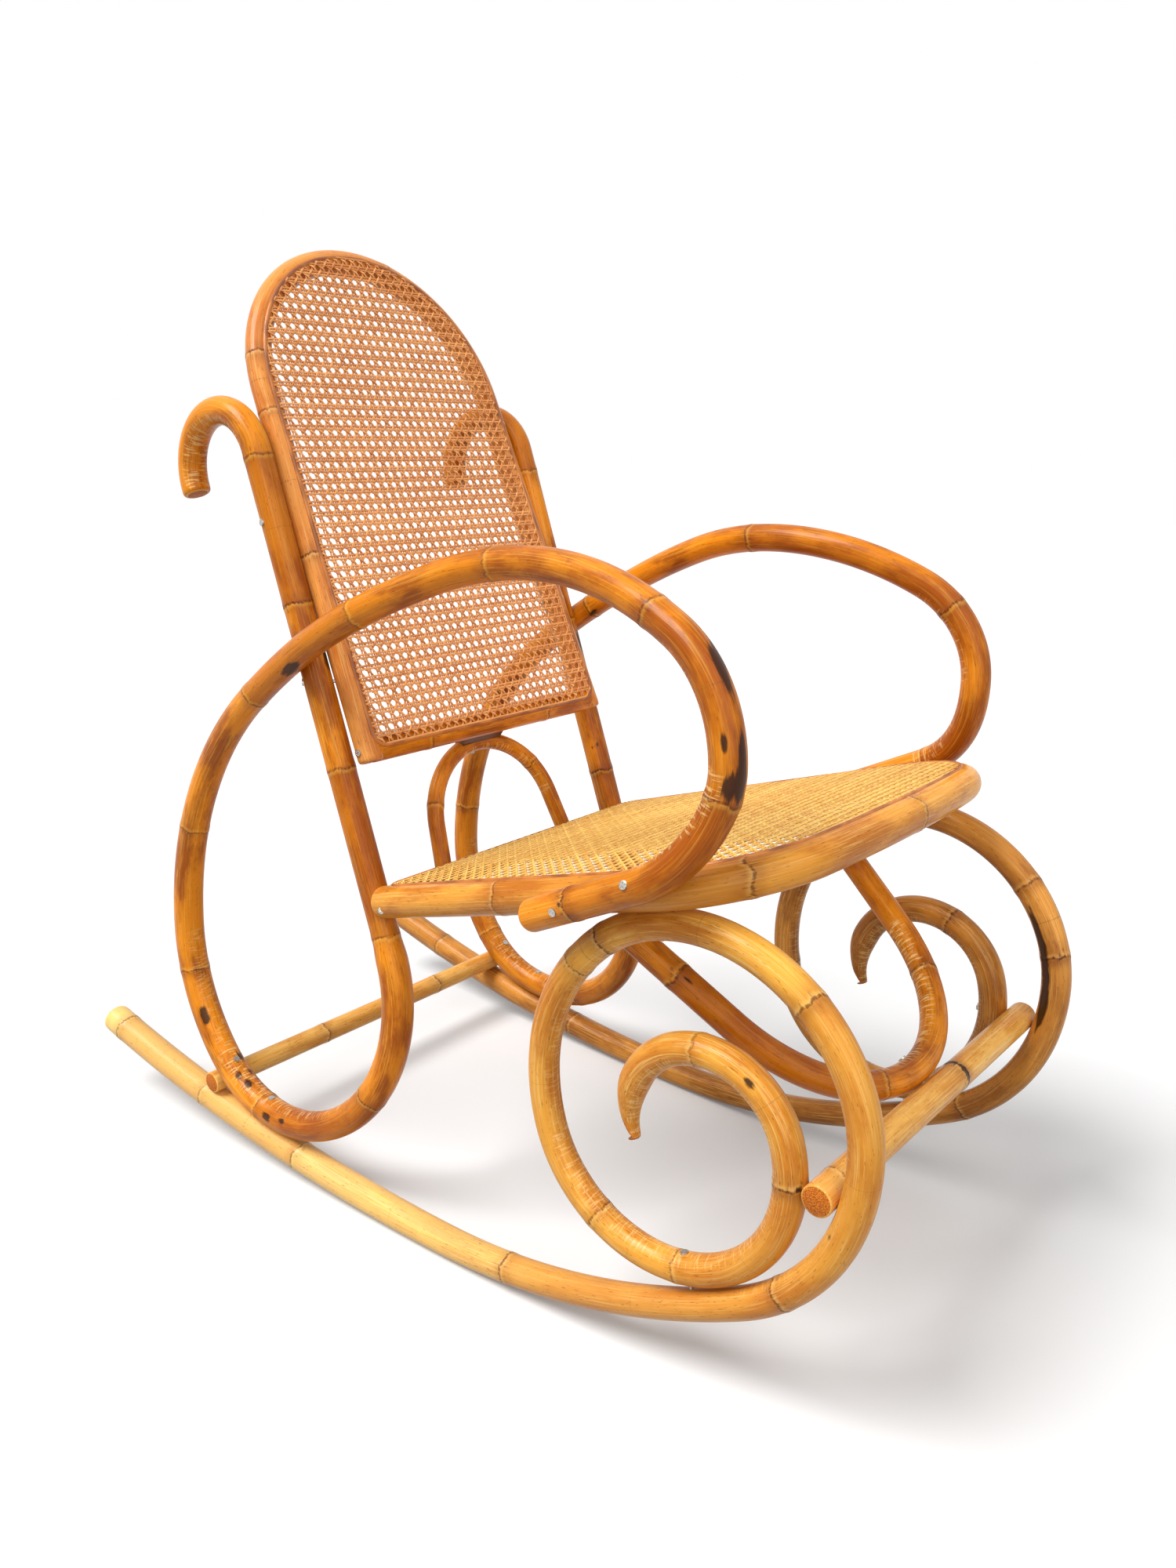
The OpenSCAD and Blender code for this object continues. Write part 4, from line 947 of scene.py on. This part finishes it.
def strands(plane, outline, heading, offsets, wave, lift, width, level):
    """Flat strands on lines of one heading: points, quads, caps, own places and tones."""
    along = direction(heading)
    side = np.array([-along[1], along[0]])
    offsets, low, high = clipped(outline, along, side, offsets)
    if wave:
        t = samples(low, high, -offsets[:, None] * side[0] / along[0])
    else:
        near = np.array([0, 1.5, 3, 4.5, 6.5])
        t = np.concatenate([low + near, high - near[::-1]], 1)
    n, m = t.shape
    flat = t[..., None] * along + offsets[:, None, None] * side
    ends = np.clip(np.minimum(t - low, high - t) / END_EASE, 0, 1)
    ends = ends * ends * (3 - 2 * ends)
    z = (level + wave * np.cos(2 * pi * flat[..., 0] / PITCH)) * ends - END_DROP * (1 - ends)
    spread = (width * seed_maker.uniform(0.93, 1.07, n))[:, None, None] * SECTION[:, 0]
    points = plane.place(flat[:, :, None] + spread[..., None] * side,
                         lift + (z[..., None] + SECTION[:, 1]))
    index = np.arange(n * m * 6).reshape(n, m, 6)
    kept = np.diff(t, axis=1) > 1e-6
    a, b = index[:, :-1][kept], index[:, 1:][kept]
    quads = np.stack([a, b, np.roll(b, -1, 1), np.roll(a, -1, 1)], -1).reshape(-1, 4)
    rows, first, last = np.arange(n), np.argmax(kept, 1), m - 1 - np.argmax(kept[:, ::-1], 1)
    caps = np.concatenate([index[rows, first][:, ::-1], index[rows, last]])
    shifted = spread + (offsets * GRAIN_SHIFT)[:, None, None]
    own = np.broadcast_arrays(t[..., None], shifted, SECTION[:, 1])
    tones = np.repeat(seed_maker.uniform(0, 1, n), m * 6)
    return [points.reshape(-1, 3), quads, caps, np.stack(own, -1).reshape(-1, 3) * MM, tones]


print("strands per web and heading, at most:", 2 * int(REACH // PITCH) + 1)

# %% [markdown]
# Four groups of strands make a web: two of pairs and two of slants. The pairs are joined
# to one piece and each slant is a piece of its own. A cane strand varies in tone, so each
# one carries a value of its own for the finish.

# %% Weaving the two webs
def web_piece(part, name, groups, material):
    """Joins groups of strands to one piece and drops the points that no face uses."""
    count = 0
    for group in groups:
        group[1:3] = group[1] + count, group[2] + count
        count += len(group[0])
    points, quads, caps, own, tones = map(np.concatenate, zip(*groups))
    used = np.unique(np.concatenate([quads.ravel(), caps.ravel()]))
    place = np.zeros(count, int)
    place[used] = np.arange(len(used))
    faces = place[quads].tolist() + place[caps].tolist()
    make_piece(part + "_web_" + name, points[used], faces, material,
               [part + "_cane"], {"lay": own[used], "tone": tones[used]})
    print(part, name, "triangles:", 2 * len(quads) + 4 * len(caps))


def cane_finish(name, dark, mid, light):
    p = Paint(name)
    lay = p.vector("lay")
    strand = p.number("tone")
    drift = p.noise(lay, (30, 30, 30), 3)
    fibre = p.noise(lay, (120, 1800, 400), 2)
    colour = p.blend((strand * 0.8 + drift * 0.7 - 0.25).step(0.05, 0.85), dark, mid)
    colour = p.blend(fibre.step(0.5, 0.7) * 0.6, colour, light)
    spot = p.noise(lay, (200, 200, 200), 1).step(0.7, 0.76)
    colour = p.blend(spot * 0.35, colour, dark)
    return p.finish(colour, 0.4 + 0.2 * drift, fibre, 0.0002, shine=0.3)


def weave_web(part, material):
    plane, corner, bends, frame_rad = web_frames[part]
    outline, lift = outlined(corner, bends, WEB_STEP)[:-1], frame_rad + WEB_LIFT
    steps = np.arange(-(REACH // PITCH), REACH // PITCH + 1)
    pairs = np.concatenate([steps * PITCH - PAIR_GAP, steps * PITCH + PAIR_GAP])
    slants = (steps + 0.5) * PITCH / sqrt(2)
    uprights = strands(plane, outline, 90, pairs, 0, lift, PAIR_WIDTH, -PAIR_LEVEL)
    level_pairs = strands(plane, outline, 0, pairs, 0, lift, PAIR_WIDTH, PAIR_LEVEL)
    rising = strands(plane, outline, 45, slants, -WEAVE, lift, SLANT_WIDTH, 0.0)
    falling = strands(plane, outline, 135, slants, WEAVE, lift, SLANT_WIDTH, 0.0)
    webs = {"pairs": [uprights, level_pairs], "rising": [rising], "falling": [falling]}
    for name, groups in webs.items():
        web_piece(part, name, groups, material)


weave_web("seat", cane_finish("seat cane", tone(216, 152, 58), tone(242, 196, 98), tone(250, 222, 152)))
weave_web("back", cane_finish("back cane", tone(208, 124, 60), tone(244, 168, 98), tone(255, 212, 152)))

# %% [markdown]
# The small block between the arch and the back is dark stained wood, and the screws are
# bright steel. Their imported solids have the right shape, so they only take a finish.

# %% Block and screws
def two_tone(name, scale, detail, low, dark, light, rough, depth, **looks):
    """A finish with one noise that mixes two tones, roughens the shine and lifts the bump."""
    p = Paint(name)
    grain = p.noise(p.place(), scale, detail)
    colour = p.blend(grain.step(low, 1 - low), dark, light)
    return p.finish(colour, rough + 0.2 * grain, grain, depth, **looks)


block = two_tone("stained block", (30, 700, 700), 3, 0.35, tone(62, 30, 14), tone(118, 64, 28),
                 0.4, 0.0003, coat=0.2)
steel = two_tone("screw steel", (900, 900, 900), 2, 0.3, tone(150, 146, 138), tone(206, 202, 194),
                 0.25, 0.0001, metal=1.0)
screw_nodes = [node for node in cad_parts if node.endswith("_screws")]
for node, paint in [("arch_spacer", block), *((screws, steel) for screws in screw_nodes)]:
    node_materials = bpy.data.objects[node].data.materials
    node_materials.clear()
    node_materials.append(paint)
print("finished nodes: arch_spacer and", screw_nodes)

# %% [markdown]
# The screws that show best, on the arm tails, the rail ends and the corners of the back,
# get a face of their own. It is a disc of rings whose height is a shallow dome less the
# recess, which is deep where a point is near either arm of the cross.

# %% Faces of the visible screws
HEAD_RAD, HEAD_RISE, DOME, FLAT_RIM, SCREW_SIDES, SCREW_RINGS = 4.0, 1.5, 0.55, 0.98, 64, 18
RECESS, SLOT_HALF, SLOT_WALL, SLOT_REACH, SLOT_END = 1.1, 0.75, 0.25, 2.7, 0.3
tail_screw_rear, tail_screw_pitch, rail_screw_slant, rail_screw_drop = 12, 92, 45, 5


def screw_face(centre, outward):
    """Dome sqrt(1 - r^2) less a cross, on rings about the centre, and the middle point."""
    u = unit(np.cross(outward, [0.3, 0.5, 0.8]))
    v = np.cross(outward, u)
    r = np.linspace(0, 1, SCREW_RINGS + 1)[1:, None] * HEAD_RAD
    a = np.arange(SCREW_SIDES)[None] * 2 * pi / SCREW_SIDES
    x, y = r * np.cos(a), r * np.sin(a)
    in_arm = np.clip((SLOT_HALF - np.minimum(np.abs(x), np.abs(y))) / SLOT_WALL, 0, 1)
    in_reach = np.clip((SLOT_REACH - r) / SLOT_END, 0, 1)
    z = DOME * np.sqrt(1 - (r / HEAD_RAD) ** 2 * FLAT_RIM) - RECESS * in_arm * in_reach
    points = centre + x[..., None] * u + y[..., None] * v + z[..., None] * outward
    return np.concatenate([points.reshape(-1, 3), [centre - (RECESS - DOME) * outward]])


def screw_faces(name, places):
    """One piece with a face at every place (centre, outward)."""
    n = SCREW_RINGS * SCREW_SIDES
    one_face = [quad[::-1] for quad in grid_faces(SCREW_RINGS, SCREW_SIDES)]
    one_face += [[n, j, (j + 1) % SCREW_SIDES] for j in range(SCREW_SIDES)]
    points = np.concatenate([screw_face(centre, outward) for centre, outward in places])
    faces = [[first + j for j in face] for first in range(0, len(points), n + 1) for face in one_face]
    make_piece(name, points, faces, steel)


right_places = []
for along_tail in (tail_screw_rear, tail_screw_rear - tail_screw_pitch):
    y, z = tail_mid + along_tail * tail_dir
    axis = np.array([tail_x(y), y, z])
    out = unit(axis - [rail_x((y - seat_origin[0]) / cos(seat_t)), y, seat_z(y)])
    right_places.append((axis + out * (arm_rad + HEAD_RISE), out))
slant = radians(rail_screw_slant)
out = np.array([sin(slant), *(-cos(slant) * seat_plane.slope)])
rail_end = seat_plane.place([[rail_x(seat_end_y), seat_end_y]], -rail_screw_drop)[0]
right_places.append((rail_end + (seat_rad / sin(slant + leg_t) + HEAD_RISE) * out, out))
corner = back_plane.place([[back_bottom_half + back_rad + HEAD_RISE, 0]])[0]
right_places.append((corner, np.array([1.0, 0, 0])))
mirror = np.array([-1, 1, 1])
places = [(centre * side, out * side) for centre, out in right_places for side in (1, mirror)]
screw_faces("screw_faces", places)
print("screw faces:", len(places))

# %% [markdown]
# The camera stands where the photograph was taken from: in front of the chair's right arm
# and a little above it. It has a level horizon and looks down by fifteen degrees.

# %% Camera
turn, dip, stand = radians(-50.1), radians(15.4), (-1.0411, -0.9485, 0.8691)
focal_px, photo_height_px = 1562.4, 2000
ahead = np.array([-sin(turn) * cos(dip), cos(turn) * cos(dip), -sin(dip)])
to_right = np.array([cos(turn), sin(turn), 0])
lens = bpy.data.cameras.new("photo camera")
lens.sensor_fit, lens.sensor_height = "VERTICAL", 36
lens.lens = focal_px / photo_height_px * lens.sensor_height
lens.clip_start, lens.clip_end = 0.05, 100
camera = added("photo_camera", lens)
matrix = np.eye(4)
matrix[:3, :3] = np.stack([to_right, np.cross(to_right, ahead), -ahead], 1)
matrix[:3, 3] = stand
camera.matrix_world = Matrix(matrix.tolist())
bpy.context.scene.camera = camera
print("lens", round(lens.lens, 2), "mm at", stand)

# %% [markdown]
# The studio is white. The camera and shiny surfaces see a white world, and the floor is
# a pale matt sheet that still takes the chair's soft shadow. A broad sun gives the light
# a direction without making it darker far away. A second, softer one lights the front of
# the back, and the pale world fills the shadows.

# %% Floor, world and light
WHITE, LIT, DIM, GLOW = (1.0, 1.0, 1.0, 1.0), 0.72, 0.28, 0.1


def seen_directly(nodes):
    """1 for rays from the camera and for mirrored or refracted ones, else 0."""
    from_camera, mirror_ray, refracted = (nodes.node("ShaderNodeLightPath", out=k) for k in (0, 3, 6))
    return from_camera.or_more(mirror_ray).or_more(refracted)


reach = 14.0
floor_mesh = bpy.data.meshes.new("floor")
floor_mesh.from_pydata([(-reach, -reach, 0), (reach, -reach, 0), (reach, reach, 0), (-reach, reach, 0)],
                       [], [(0, 1, 2, 3)])
floor = added("floor", floor_mesh)
sheet = Paint("studio floor")
matt = sheet.node("ShaderNodeBsdfDiffuse", (), {"Color": (LIT, LIT, LIT, 1)})
bounce = sheet.node("ShaderNodeBsdfDiffuse", (), {"Color": (DIM, DIM, DIM, 1)})
glow = sheet.node("ShaderNodeEmission", (), {"Color": WHITE, "Strength": GLOW})
lit = sheet.node("ShaderNodeAddShader", (), {0: matt, 1: glow})
shown = sheet.node("ShaderNodeMixShader", (), {0: seen_directly(sheet), 1: bounce, 2: lit})
sheet.fill(sheet.tree.nodes["Material Output"], {"Surface": shown})
sheet.tree.nodes.remove(sheet.shader)
floor_mesh.materials.append(sheet.material)

world = bpy.data.worlds.new("studio")
sky = Nodes(world)
fill = 0.3
strength = seen_directly(sky) * (1 - fill) + fill
sky.fill(sky.tree.nodes["Background"], {"Color": WHITE, "Strength": strength})
bpy.context.scene.world = world

suns = [("key", 3.3, 30, (0.72, -0.40, -1.2)), ("front", 1.7, 80, (0.45, 0.85, -0.6))]
for name, energy, angle, falls in suns:
    light = bpy.data.lights.new(name, "SUN")
    light.energy, light.angle = energy, radians(angle)
    added(name, light).rotation_euler = Vector(falls).to_track_quat("-Z", "Y").to_euler()
bpy.context.scene.view_settings.view_transform = "Standard"
print("world strength for light", fill, "and suns", [sun[0] for sun in suns])
